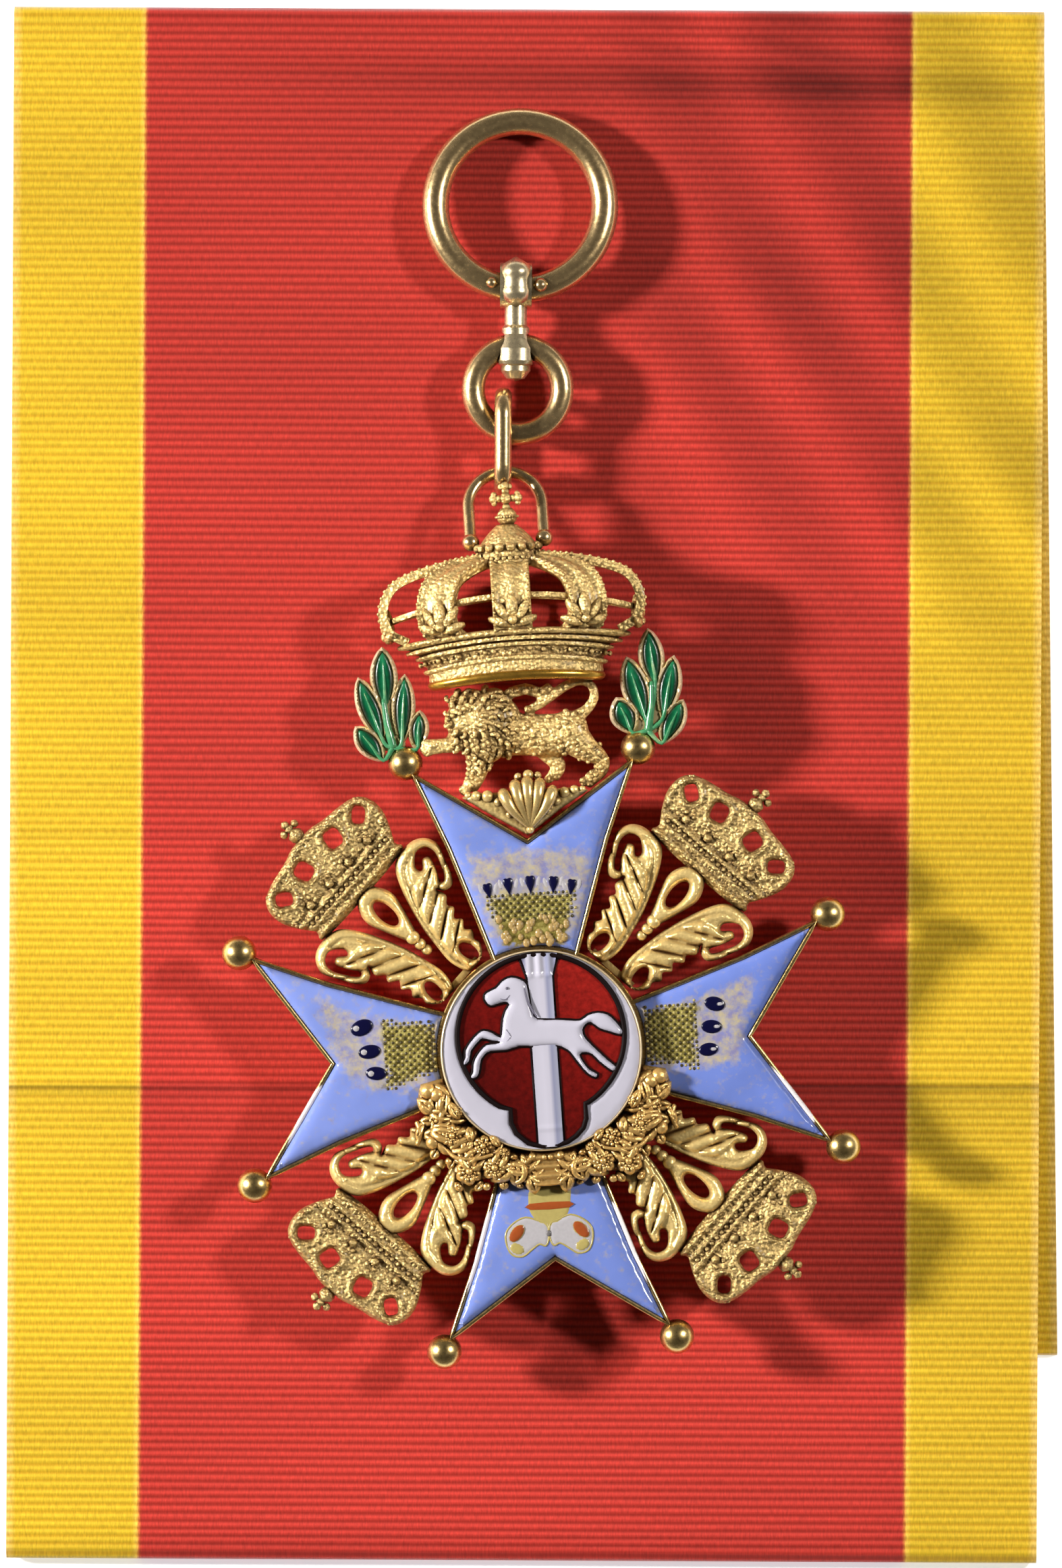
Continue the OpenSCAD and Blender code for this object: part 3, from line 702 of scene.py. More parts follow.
def golds():
    """Each gilding's colour, the colour of its painted shade in recesses, grain, size of the grain,
    roughness and metal.
    """
    gold, ring, rim = shade("finish", "gold"), shade("finish", "ring_gold"), (0.66, 0.36, 0.05)
    pale = tuple(c * 0.7 + 0.3 for c in gold)
    warm, satin = (1.1, 0.96, 0.8), (0.3, 0.44)
    return {
        "cast_gold": (scaled(gold, 1.2), (0.13, 0.055, 0.012), 0.04, 3.0, satin, 0.55),
        "grained_gold": (scaled(gold, 1.13), (0.13, 0.06, 0.014), 0.2, 2.3, (0.3, 0.48), 0.7),
        "ornament_gold": (scaled(gold, 0.81), (0.11, 0.05, 0.012), 0.22, 2.3, (0.3, 0.48), 0.75),
        "garland_gold": (scaled(gold, warm), (0.06, 0.018, 0.002), 0.05, 2.6, satin, 0.7),
        "shell_gold": (scaled(gold, 1.12), (0.2, 0.1, 0.02), 0, 2, (0.22, 0.32), 0.7),
        "polished_gold": (scaled(gold, 0.9), (0.3, 0.19, 0.07), 0, 2, (0.24, 0.34), 1.0),
        "bezel_gold": (pale, scaled(gold, 0.6), 0, 2, (0.28, 0.4), 0.5),
        "ring_gold": (ring, scaled(ring, 0.35), 0, 2, (0.2, 0.3), 0.95),
        "clasp_gold": ((0.9, 0.74, 0.46), (0.3, 0.2, 0.08), 0, 2, (0.24, 0.34), 0.9),
        "rim_gold": (rim, scaled(rim, 0.4), 0, 2, (0.25, 0.35), 0.9),
    }


PAINTS = {
    # Colour, roughness and shine
    "dark_line": ((0.006, 0.002, 0.002), 0.6, 0.1),
    "grey_line": ((0.16, 0.15, 0.2),),
    # Pale paint along edges that stands for their highlights
    "worn_edge": ((0.86, 0.80, 0.80), 0.2),
    "scale_paint": ((0.40, 0.27, 0.10), 0.22),
    "navy_paint": ((0.003, 0.003, 0.03), 0.22),
    # Also used for the eyes' shines, which are painted highlights
    "pale_paint": ((0.46, 0.44, 0.46), 0.22),
    "dark_paint": ((0.045, 0.035, 0.008), 0.22),
    "gold_paint": ((0.44, 0.36, 0.12), 0.22),
    "red_paint": ((0.34, 0.075, 0.018), 0.22),
    "grey_paint": ((0.16, 0.15, 0.15), 0.22),
}
FINISHES = {}


def finish(name, make=None, *values):
    """A finish is made once, by its maker or from the tables, and shared."""
    if name not in FINISHES:
        if name in PAINTS:
            make, values = paint, PAINTS[name]
        elif make is None:
            make, values = gilding, golds()[name]
        FINISHES[name] = make(name, *values).material
    return FINISHES[name]


class PieceOperator:
    """What every building step has in common."""

    bl_options = {"REGISTER", "UNDO"}


def lay_on_badge(name, parts, material, slot, replaced=(), angle=None):
    """Joins the parts of one piece and sets it down on the badge."""
    piece = join(name, parts)
    if angle:
        smooth(piece, angle)
    return set_down(piece, ON_BADGE, finish(*material), replaced, slot)


# Stage: floor, camera and lights


class BADGE_OT_stage(PieceOperator, bpy.types.Operator):
    """Lay the floor and set the camera and the two soft lights"""

    bl_idname = "badge.stage"
    bl_label = "Stage"

    def execute(self, context):
        settings = context.scene.badge_stage
        deselect()
        bpy.ops.mesh.primitive_plane_add(size=6, location=(0, 0, -0.0001))
        floor = context.view_layer.objects.active
        floor.name = "floor"
        bpy.ops.object.transform_apply(location=True, rotation=True, scale=True)
        paper = Finish("pale_floor")
        cloud = paper.noise(paper.place(30), 1.0, 3)
        tone = paper.mix(cloud, (0.93, 0.92, 0.91), (0.96, 0.95, 0.94))
        paper.set(base_color=tone, roughness=0.8)
        paper.set(emission_color=(0.88, 0.95, 1.0), emission_strength=0.6)
        floor.data.materials.append(paper.material)
        self.camera(context, settings)
        self.lights(context, settings)
        self.room(context)
        context.scene.view_settings.view_transform = "Standard"
        return {"FINISHED"}

    def camera(self, context, settings):
        # The view's middle, and the long side of a 36 mm sensor
        middle = (-0.00044, 0.0001)
        sensor = 36.0
        bpy.ops.object.camera_add(
            location=(*middle, SASH_HIGH.z + settings.height), rotation=(0, 0, settings.lean)
        )
        camera = context.view_layer.objects.active
        camera.name = "camera"
        camera.data.sensor_width = sensor
        camera.data.lens = sensor * settings.height / settings.span
        camera.data.clip_start, camera.data.clip_end = 0.05, 20
        context.scene.camera = camera

    def lights(self, context, settings):
        # Name, direction on the table and height in degrees, distance, power, width and height
        # of the softbox, its spread in degrees, and where it is aimed
        for name, way, up, reach, power, wide, high, spread, aim in (
            ("key", 171, 27.5, 0.82, settings.key, 0.1, 0.085, 50, (-0.01, -0.01, 0)),
            ("fill", 20, 44, 0.8, settings.fill, 0.085, 0.08, 180, (0, 0, 0)),
        ):
            way, up = math.radians(way), math.radians(up)
            flat = math.cos(up)
            spot = Vector((math.cos(way) * flat, math.sin(way) * flat, math.sin(up))) * reach
            bpy.ops.object.light_add(type="AREA", location=spot)
            lamp = context.view_layer.objects.active
            lamp.name = name
            lamp.data.shape = "RECTANGLE"
            lamp.data.size, lamp.data.size_y = wide, high
            lamp.data.energy = power
            lamp.data.spread = math.radians(spread)
            lamp.data.color = (1.0, 0.97, 0.93)
            lamp.rotation_mode = "QUATERNION"
            lamp.rotation_quaternion = (spot - Vector(aim)).to_track_quat("Z", "Y")

    def room(self, context):
        """A soft room that is dim overhead and paler low down."""
        world = bpy.data.worlds.new("studio")
        world.use_nodes = True
        nodes, links = world.node_tree.nodes, world.node_tree.links
        way = nodes.new("ShaderNodeTexCoord")
        parts = nodes.new("ShaderNodeSeparateXYZ")
        tone = nodes.new("ShaderNodeValToRGB")
        links.new(way.outputs["Generated"], parts.inputs["Vector"])
        links.new(parts.outputs["Z"], tone.inputs["Fac"])
        links.new(tone.outputs["Color"], nodes["Background"].inputs["Color"])
        low, high = tone.color_ramp.elements
        low.position, low.color = 0.3, (0.38, 0.36, 0.33, 1)
        high.position, high.color = 0.7, (0.11, 0.10, 0.09, 1)
        nodes["Background"].inputs["Strength"].default_value = 0.36
        context.scene.world = world


# Sash: one strip folded over at the top and turned under at the foot


def silk(name, half):
    """Ribbed silk, read from the strip's own map; half is half its width."""
    made = Finish(name)
    laid = made.laid()
    settings = lengths_of("sash")
    red, yellow = shade("sash", "red"), shade("sash", "yellow")
    # Uneven ribs: the phase drifts a little and some ribs are fuller than others
    drift = made.maths("MULTIPLY", made.noise(made.stretched(laid, 0.02, 0.35, 1), 1.0, 2), 0.3)
    phase = made.maths("ADD", made.laid("Y"), drift)
    wave = made.maths("COSINE", made.maths("MULTIPLY", phase, 2 * math.pi / settings.rib_pitch))
    rib = made.maths("ADD", made.maths("MULTIPLY", wave, -0.5), 0.5)
    fuller = made.noise(made.stretched(laid, 0.05, 1.3, 1), 1.0, 3, 0.6)
    threads = made.noise(made.stretched(laid, 5.5, 1.1, 1), 1.0, 2, 0.7)
    swell = made.maths("ADD", 0.55, made.maths("MULTIPLY", fuller, 0.8))
    full = made.maths("MULTIPLY", rib, swell)
    # Red in the middle, a thin pale line, then the yellow edge that deepens at the selvedge
    wander = made.maths("MULTIPLY", made.maths("SUBTRACT", threads, 0.5), 0.25)
    off = made.maths("ADD", made.maths("ABSOLUTE", made.laid("X")), wander)
    side = made.maths("DIVIDE", off, half)
    edge = 1 - settings.stripe / half
    colour = made.ramp(side, [
        (edge - 0.005, red), (edge - 0.001, (0.62, 0.16, 0.04)), (edge + 0.003, (0.88, 0.58, 0.08)),
        (edge + 0.012, yellow), (0.985, yellow), (1.0, (0.85, 0.58, 0.14)),
    ])
    # Painted shade and highlight of the ribs: darker in each groove and lighter on each crest, more
    # strongly on the red than on the yellow
    deep, pale = (
        made.ramp(full, [(0.05, low), (0.4, middle), (0.9, (top, top, top))])
        for low, middle, top in (
            ((0.64, 0.56, 0.52), (0.93, 0.93, 0.93), 1.1),
            ((0.84, 0.74, 0.55), (0.97, 0.96, 0.94), 1.05),
        )
    )
    rib_shade_and_highlight = made.mix(made.ramp(side, [(edge - 0.002, 0.0), (edge + 0.004, 1.0)]), deep, pale)
    shaded = made.times(made.times(colour, rib_shade_and_highlight), made.ramp(threads, [(0.3, 0.80), (0.7, 1.17)]))
    # The strip's 'tone' is painted light and shade, multiplied into the colour
    made.set(base_color=made.times(shaded, made.read("tone")), roughness=0.5)
    made.set(sheen_weight=0.1, sheen_roughness=0.35, specular_ior_level=0.25)
    made.bump(made.maths("ADD", full, made.maths("MULTIPLY", threads, 0.25)), 0.6, 0.15)
    return made


class BADGE_OT_sash(PieceOperator, bpy.types.Operator):
    """Fold the ribbed silk sash"""

    bl_idname = "badge.sash"
    bl_label = "Sash"

    # Where the yellow edge begins, for the silk's shading
    SHADE_EDGE = 37.6

    def execute(self, context):
        settings = lengths_of("sash")
        low, high = SASH_LOW / MM, SASH_HIGH / MM
        half_w = (high.x - low.x - settings.slip) / 2
        line, lengths, fold_z = self.strip_line(settings, low, high)
        # Columns stand closer near the selvedge
        edge = [0, 0.35, 1.2, 2.6, 4.0, 5.4, 6.8, 8.2, 9.6, 11.0, 12.4, 13.2, 14.6, 16.2]
        left = np.concatenate([edge, np.linspace(18.2, half_w, 16)]) - half_w
        across = np.concatenate([left, -left[-2::-1]])
        x, y = np.meshgrid(across, line[:, 0])
        z, slip = line[:, 1:2], line[:, 2:]
        upper = z > fold_z
        # Rows stand on the ribs and between them, and the selvedge is a little fuller
        rib = np.where(np.arange(len(line)) % 2, 0.045, -0.045)[:, None]
        bulge = np.sign(x) * 0.18 * np.maximum(0, 1 - (half_w - np.abs(x)) / 0.5)
        verts = np.stack([
            low.x + half_w + x + slip + bulge, y, z + np.where(upper, rib + self.lie(x, y), -rib)
        ], 2)
        strip = from_arrays("sash", verts.reshape(-1, 3), quads(*x.shape, round_columns=False))
        reach = np.broadcast_to(lengths[:, None], x.shape)
        lay_map(strip, "along_the_strip", np.stack([x, reach], 2).reshape(-1, 2))
        # Painted light and shade of the upper layer, kept for the silk's finish to read
        mark(strip, "tone", np.where(upper, self.tone(x, y), 1).ravel())
        solid = strip.modifiers.new("thickness", "SOLIDIFY")
        solid.thickness, solid.offset = 0.94, 0
        smooth(apply_modifiers(strip), 60)
        material = finish("ribbed_silk", silk, half_w)
        set_down(strip, IN_FRAME, material, ["sash_ribbon"], "sash_silk")
        return {"FINISHED"}

    def strip_line(self, settings, low, high):
        """Rows of (y, z, sideways slip) along the middle of the silk, from the free end to the
        tail, with their places along the strip and the height between the two layers."""
        step = settings.rib_pitch / 2
        under_z, upper_z = 0.5, high.z - 0.5
        fold, fold_z = (upper_z - under_z) / 2, (upper_z + under_z) / 2
        top_y, foot_y = high.y - 0.5 - fold, low.y + 0.5 + fold
        free_y, tail_y = low.y + settings.free_end, low.y + settings.tail
        rows = np.arange(free_y, top_y, step)
        line = [(y, under_z, settings.slip * (top_y - y) / (top_y - free_y)) for y in rows]
        bend = np.radians(np.arange(-90, 90, 10))
        line += [(top_y + fold * math.cos(t), fold_z + fold * math.sin(t), 0) for t in bend]
        line += [(y, upper_z, 0) for y in np.arange(top_y, foot_y, -step)]
        line += [(foot_y - fold * math.cos(t), fold_z - fold * math.sin(t), 0) for t in bend]
        line += [(y, under_z, 0) for y in np.arange(foot_y, tail_y, step)]
        line = np.array(line)
        steps = np.linalg.norm(np.diff(line[:, :2], axis=0), axis=1)
        reach = np.concatenate([[0], np.cumsum(steps)])
        lengths = np.arange(0, reach[-1], step)
        line = np.stack([np.interp(lengths, reach, line[:, k]) for k in range(3)], 1)
        return line, lengths, fold_z

    def folds(self, x, y):
        """Soft diagonal folds towards the upper right corner, from -1 to 1."""
        path = 0.866 * x + 0.5 * y + 0.9 * np.sin(0.11 * y + 0.06 * x)
        swell = 0.8 + 0.2 * np.sin(0.13 * x - 0.17 * y)
        light = 0.5 + 0.5 * np.sin(0.524 * path - 0.9)
        return climb(x, 3, 16) * climb(y, 4, 24) * swell * (2 * light ** 1.4 - 1)

    def above_crease(self, x, y):
        return y - (BADGE_AT.y / MM - 3.7 + 0.006 * x)

    def lie(self, x, y):
        """How the upper layer sinks from flat: a pressed crease, shallow waves and folds."""
        crease = -0.2 * np.exp(-np.abs(self.above_crease(x, y)) / 1.3)
        wave = -0.14 * bell(y - 69.3 + 0.03 * x, 1.6)
        slack = -0.05 * (1 + np.sin(0.09 * x + 0.14 * y))
        return crease + wave + slack - 0.1 * (1 + self.folds(x, y))

    def tone(self, x, y):
        """Painted light and shade on the upper layer, multiplied into the silk's colour: its folds,
        shown more strongly than their depth, the crease, bands near the top and the foot, darker
        towards the right and the upper right corner, slow waves and faint darker lines.
        """
        yellow_left, yellow_right = x < -self.SHADE_EDGE, x > self.SHADE_EDGE
        off = self.above_crease(x, y)
        crease = np.where(off > 0, 0.1 * np.exp(-off / 5), -0.16 * np.exp(off / 6))
        crease -= 0.36 * bell(off + 0.1, 0.42)
        band = -0.4 * bell(y - 69.5 + 0.02 * x, 1.9) * (0.55 + 0.013 * x)
        band += 0.07 * np.sin(0.45 * x + 2.2 * (y - 73)) * ((y > 70.5) & (x > 6))
        band += 0.05 * bell(y - 72.6, 1.5) - 0.14 * bell(y + 75.0, 1.2)
        corner = -0.20 * climb(x, -5, 45) * climb(y, 30, 40)
        share = np.where(yellow_right, 0.45, 1.0)
        wave = np.where(yellow_right, 0.16, 0.21)
        slope = np.where(yellow_left | yellow_right, 0.0004, 0.0016)
        right = -0.12 * climb(x, 34, 6) - slope * (y - 15)
        right += 0.09 * climb(y, 60, 8) * yellow_right - 0.06 * climb(y, -40, 40) * yellow_left
        slow = 0.035 * np.sin(0.11 * x + 0.16 * y + 1) + 0.03 * np.sin(0.05 * x - 0.31 * y)
        faint = 0.0
        for at, start, end in ((29.5, -40, -16), (16.6, -40, -14), (17.2, 30, 50), (-5, -50, -30)):
            faint -= 0.07 * bell(y - at, 0.5) * ((x > start) & (x < end))
        shading = crease + right + share * (band + corner) + wave * self.folds(x, y)
        return 1.02 + shading + faint + slow


# Suspension: ring, clasp, small ring, link and bail keep their solids and get their gilding

RING_FINISHES = {
    "suspension_ring": "ring_gold", "ring_clasp": "clasp_gold", "small_ring": "ring_gold",
    "long_link": "ring_gold", "crown_bail": "ring_gold", "reverse_boss": "polished_gold",
}


class BADGE_OT_rings(PieceOperator, bpy.types.Operator):
    """Gild the rings, the clasp, the link and the bail"""

    bl_idname = "badge.rings"
    bl_label = "Rings"

    def execute(self, context):
        for name, gilt in RING_FINISHES.items():
            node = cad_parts[name]
            node.data.materials.clear()
            node.data.materials.append(finish(gilt))
            smooth(node, 35)
        # The round barrel on the front of the clasp's sleeve
        line = [(-2.87, y, -1.95) for y in np.linspace(73.4, 77.0, 13)]
        radii = [1.2, 1.5, 1.55, 1.42, 1.42, 1.42, 1.55, 1.5, 1.2]
        barrel = smooth(taper_wire("clasp_barrel", line, radii, 28))
        set_down(barrel, Matrix.Translation(BADGE_AT) @ IN_FRAME, finish("clasp_gold"))
        return {"FINISHED"}


# Cross: gilt body with a raised edge, balls, and pillowed enamel

# The arms, by quarter turns from the top
ARMS = {"top": 0, "left": 1, "bottom": 2, "right": 3}


def arm_points(settings):
    """Outline of the upper arm, from its root round its two points."""
    tip_x, tip_y = settings.ball_side - 0.2, settings.ball_reach - 0.65
    root, root_y, base_y = 4.5, 8.0, 9.6
    root_x = root - (base_y - root_y) * (tip_x - root) / (tip_y - base_y)
    side = [(5.95, 14.2), (7.95, 20.2), (tip_x, tip_y)]
    left = [(-x, y) for x, y in side[::-1]]
    return np.array([(-root_x, root_y), (root_x, root_y), *side, (0, settings.notch), *left])


def arm_cell(settings, d, hub):
    """The arm's outline moved inwards, cut off at the hub's circle."""
    points = inset(arm_points(settings), d)
    low, along = points[1], points[2] - points[1]
    # Where the arm's side meets the hub's circle
    a, b, c = along @ along, 2 * low @ along, low @ low - hub * hub
    meet = low + along * (-b + math.sqrt(b * b - 4 * a * c)) / (2 * a)
    half = math.degrees(math.atan2(meet[0], meet[1]))
    return np.vstack([circle_line(hub, 13, 90 + half, -2 * half * 13 / 12), points[2:]])


class BADGE_OT_cross(PieceOperator, bpy.types.Operator):
    """Make the gilt cross, its balls and the enamel of its arms"""

    bl_idname = "badge.cross"
    bl_label = "Cross"

    def execute(self, context):
        settings = lengths_of("cross")
        edge, points = settings.edge, arm_points(settings)
        hub = lengths_of("medallion").radius + 0.35
        parts = []
        for quarter in ARMS.values():
            turn = quarter * QUARTER
            parts.append(relief("back", turned(points, turn), -1.1, level(0.35), spacing=1.5))
            rim = resampled(turned(inset(points, edge / 2), turn), 1.0)
            parts.append(wall_line("rim", rim, 0.0, edge / 2, 1.85))
            for side in (-1, 1):
                x, y = turned((side * settings.ball_side, settings.ball_reach), turn)
                parts.append(ball("knob", (x, y, 0), settings.ball_d / 2, fine=4))
        profile = [(0, -1.1), (hub, -1.1), (hub, 1.0), (hub - 0.1, 1.1), (0, 1.1)]
        parts.append(lathe("hub", profile))
        lay_on_badge("cross_gilt", parts, ["polished_gold"], "gilt", ["cross_frame"], 35)
        # Painted highlights along some of the arms' edges
        self.worn_edges(inset(points, 0.24))
        outline = arm_cell(settings, edge + 0.03, hub + 0.06)
        for name, quarter in ARMS.items():
            self.enamel(name, outline, quarter * QUARTER)
        return {"FINISHED"}

    def worn_edges(self, points):
        """Painted highlights: pale lines on the lower arm's edges and the inner ones of the side
        arms, where these edges catch the light.
        """
        edges = []
        for quarter, rows in ((2, (1, 2, 3, 4)), (2, (0, 8, 7, 6)), (1, (5, 6)), (3, (4, 5))):
            line = resampled(turned(points[list(rows)], quarter * QUARTER), 0.5, False)
            path = [(x, y, 0.94) for x, y in line if math.hypot(x, y) > 13.2]
            edges.append(taper_wire("worn_edge", path, [0.12, 0.24, 0.24, 0.2, 0.1]))
        lay_on_badge("worn_edges", edges, ["worn_edge"], "gilt", angle=60)

    def enamel(self, name, outline, turn):
        plate = relief("plate", turned(outline, turn), 0.46, level(0.98, 0.5, 1.5))
        lay_map(plate)
        own = turned(spots_of(plate)[:, :2], -turn)
        for kind, (outlines, soft) in PAINTED_AREAS.items():
            share = np.zeros(len(own))
            if name in outlines:
                share = share_inside(outlines[name], *own.T, soft)
            mark(plate, kind, share)
        material = ["blue_enamel", blue_enamel]
        name = "enamel_" + name
        lay_on_badge(name + "_fired", [plate], material, "blue_enamel", [name], 45)


def blue_enamel(name):
    """Opalescent blue, painted paler on the left of the badge and darker on its right as painted
    light from the left.
    """
    made = Finish(name)
    spot = made.place()
    # Painted light: the blue runs paler towards the badge's left, where the light falls from, and
    # darker towards its right
    share = made.maths("ADD", made.maths("DIVIDE", made.laid("X"), 60.0), 0.5)
    left, right = (0.21, 0.28, 0.66), (0.135, 0.20, 0.56)
    tone = made.ramp(share, [(0.0, left), (0.5, shade("cross", "blue")), (1.0, right)])
    fray = made.maths("SUBTRACT", made.noise(spot, 1.3, 3, 0.6), 0.5)
    fray = made.maths("MULTIPLY", fray, 1.5)
    # Beige and lilac haze of fine barbs, and the olive ground of the fans
    barbs = made.ramp(made.noise(spot, 1.1, 4, 0.75), [(0.35, 0.6), (0.6, 1.0)])
    haze = made.ramp(made.noise(spot, 0.8, 4, 0.7), [
        (0.36, (0.24, 0.21, 0.34)), (0.5, (0.40, 0.34, 0.25)), (0.64, (0.54, 0.44, 0.17))
    ])
    spread = made.ramp(made.maths("ADD", made.read("plume"), fray), [(0.05, 0.0), (0.6, 0.85)])
    tone = made.mix(made.maths("MULTIPLY", spread, barbs), tone, haze)
    olive = made.ramp(made.noise(spot, 1.1, 4, 0.7), [
        (0.36, (0.06, 0.045, 0.01)), (0.5, (0.19, 0.155, 0.035)), (0.66, (0.38, 0.33, 0.10))
    ])
    ground = made.ramp(made.maths("ADD", made.read("fan"), fray), [(0.3, 0.0), (0.7, 1.0)])
    cloud = made.ramp(made.noise(spot, 0.22, 3), [(0.3, 0.9), (0.7, 1.1)])
    made.set(base_color=made.times(made.mix(ground, tone, olive), cloud), roughness=0.16)
    made.set(coat_weight=0.5, coat_roughness=0.05)
    made.bump(made.noise(spot, 0.7, 2), 0.35, 0.03)
    return made


# Medallion: bezel, white ring, red field, column and horse

HORSE = [
    (-5.22, 5.52), (-4.98, 6.0), (-4.02, 6.4), (-3.54, 6.88), (-3.06, 7.2), (-2.42, 7.36),
    (-1.62, 7.12), (-0.98, 6.56), (-0.82, 5.28), (-0.58, 4.0), (-0.18, 3.12), (1.58, 2.96),
    (3.02, 2.8), (3.98, 2.72), (4.78, 3.2), (5.74, 3.36), (6.7, 3.12), (7.42, 2.4), (8.1, 1.35),
    (7.74, 1.04), (6.86, 1.36), (5.82, 1.76), (5.02, 2.4), (4.46, 2.2), (4.18, 1.76), (4.3, 1.12),
    (4.7, 0.56), (5.26, -0.08), (6.38, -1.28), (7.2, -2.05), (6.96, -2.5), (6.38, -2.16),
    (5.5, -1.36), (4.94, -0.72), (4.3, -0.48), (3.74, -0.64), (4.06, -1.44), (4.62, -2.16),
    (5.34, -2.64), (5.1, -3.0), (4.3, -2.48), (3.58, -1.52), (3.1, -0.8), (2.78, -0.32),
    (2.22, 0.08), (1.42, 0.4), (-0.82, 0.45), (-2.1, 0.56), (-3.38, 0.24), (-4.9, 0.24),
    (-5.54, -0.08), (-5.94, -0.64), (-6.1, -1.44), (-6.34, -2.08), (-6.82, -2.32), (-7.14, -2.16),
    (-6.82, -1.68), (-6.74, -0.96), (-6.5, -0.32), (-5.94, 0.4), (-5.3, 0.93), (-4.34, 0.99),
    (-4.02, 1.12), (-4.82, 1.28), (-5.62, 1.52), (-6.1, 1.2), (-6.82, 0.4), (-7.06, -0.56),
    (-7.6, -0.96), (-7.76, -0.72), (-7.46, -0.16), (-7.38, 0.56), (-6.74, 1.44), (-6.02, 2.11),
    (-5.46, 2.35), (-4.66, 2.08), (-3.9, 1.57), (-3.7, 2.4), (-3.54, 3.36), (-3.22, 4.16),
    (-2.86, 4.72), (-3.3, 4.93), (-4.02, 4.77), (-4.66, 4.67), (-5.06, 5.04),
]
# The column stands this far right of the middle
COLUMN_X = 0.33


def field_line(settings, grow=0.0):
    """Outline of the red field: a rounded shield over a tongue with a round foot."""
    r, half = settings.field, settings.tongue
    head = circle_line(1, 60, -59, 301) * (r + 0.2, r - 0.03) + (0.05, 1.45)
    line = np.vstack([head, [
        (0.28 - half, -5.55), (0.25 - half, -6.9), (-3.0, -7.95), (-1.85, -9.0), (-0.6, -9.35),
        (1.0, -9.35), (2.0, -9.1), (2.9, -8.55), (3.65, -7.8), (0.28 + half, -6.9),
        (0.28 + half, -5.45),
    ]])
    return inset(line, -grow) if grow else line


def field_red(name):
    """Deep red, brighter towards its upper right and mottled."""
    made = Finish(name)
    red = shade("medallion", "red")
    slope = made.maths("ADD", made.laid("X"), made.laid("Y"))
    share = made.maths("ADD", made.maths("DIVIDE", slope, 26.0), 0.5)
    tone = made.ramp(share, [
        (0.1, scaled(red, 0.45)), (0.55, red), (0.95, scaled(red, (1.9, 2.6, 2.6)))
    ])
    cloud = made.ramp(made.noise(made.laid(), 1.6, 4, 0.65), [(0.3, 0.65), (0.7, 1.35)])
    made.set(base_color=made.times(tone, cloud), roughness=0.22)
    made.set(coat_weight=0.35, coat_roughness=0.08)
    made.bump(made.noise(made.place(), 1.2, 2), 0.3, 0.02)
    return made


def column_white(name):
    """White enamel, shaded lilac grey towards the column's sides."""
    made = Finish(name)
    white, grey = shade("medallion", "white"), (0.22, 0.22, 0.33)
    share = made.maths("ADD", made.maths("DIVIDE", made.laid("X"), 4.0), 0.425)
    tone = made.ramp(share, [
        (0.12, grey), (0.22, scaled(white, 0.8)), (0.45, white), (0.58, white),
        (0.68, (0.25, 0.26, 0.38)), (0.78, (0.36, 0.37, 0.48)), (0.92, grey),
    ])
    made.set(base_color=tone, roughness=0.2)
    made.bump(made.noise(made.place(), 1.2, 2), 0.3, 0.02)
    return made


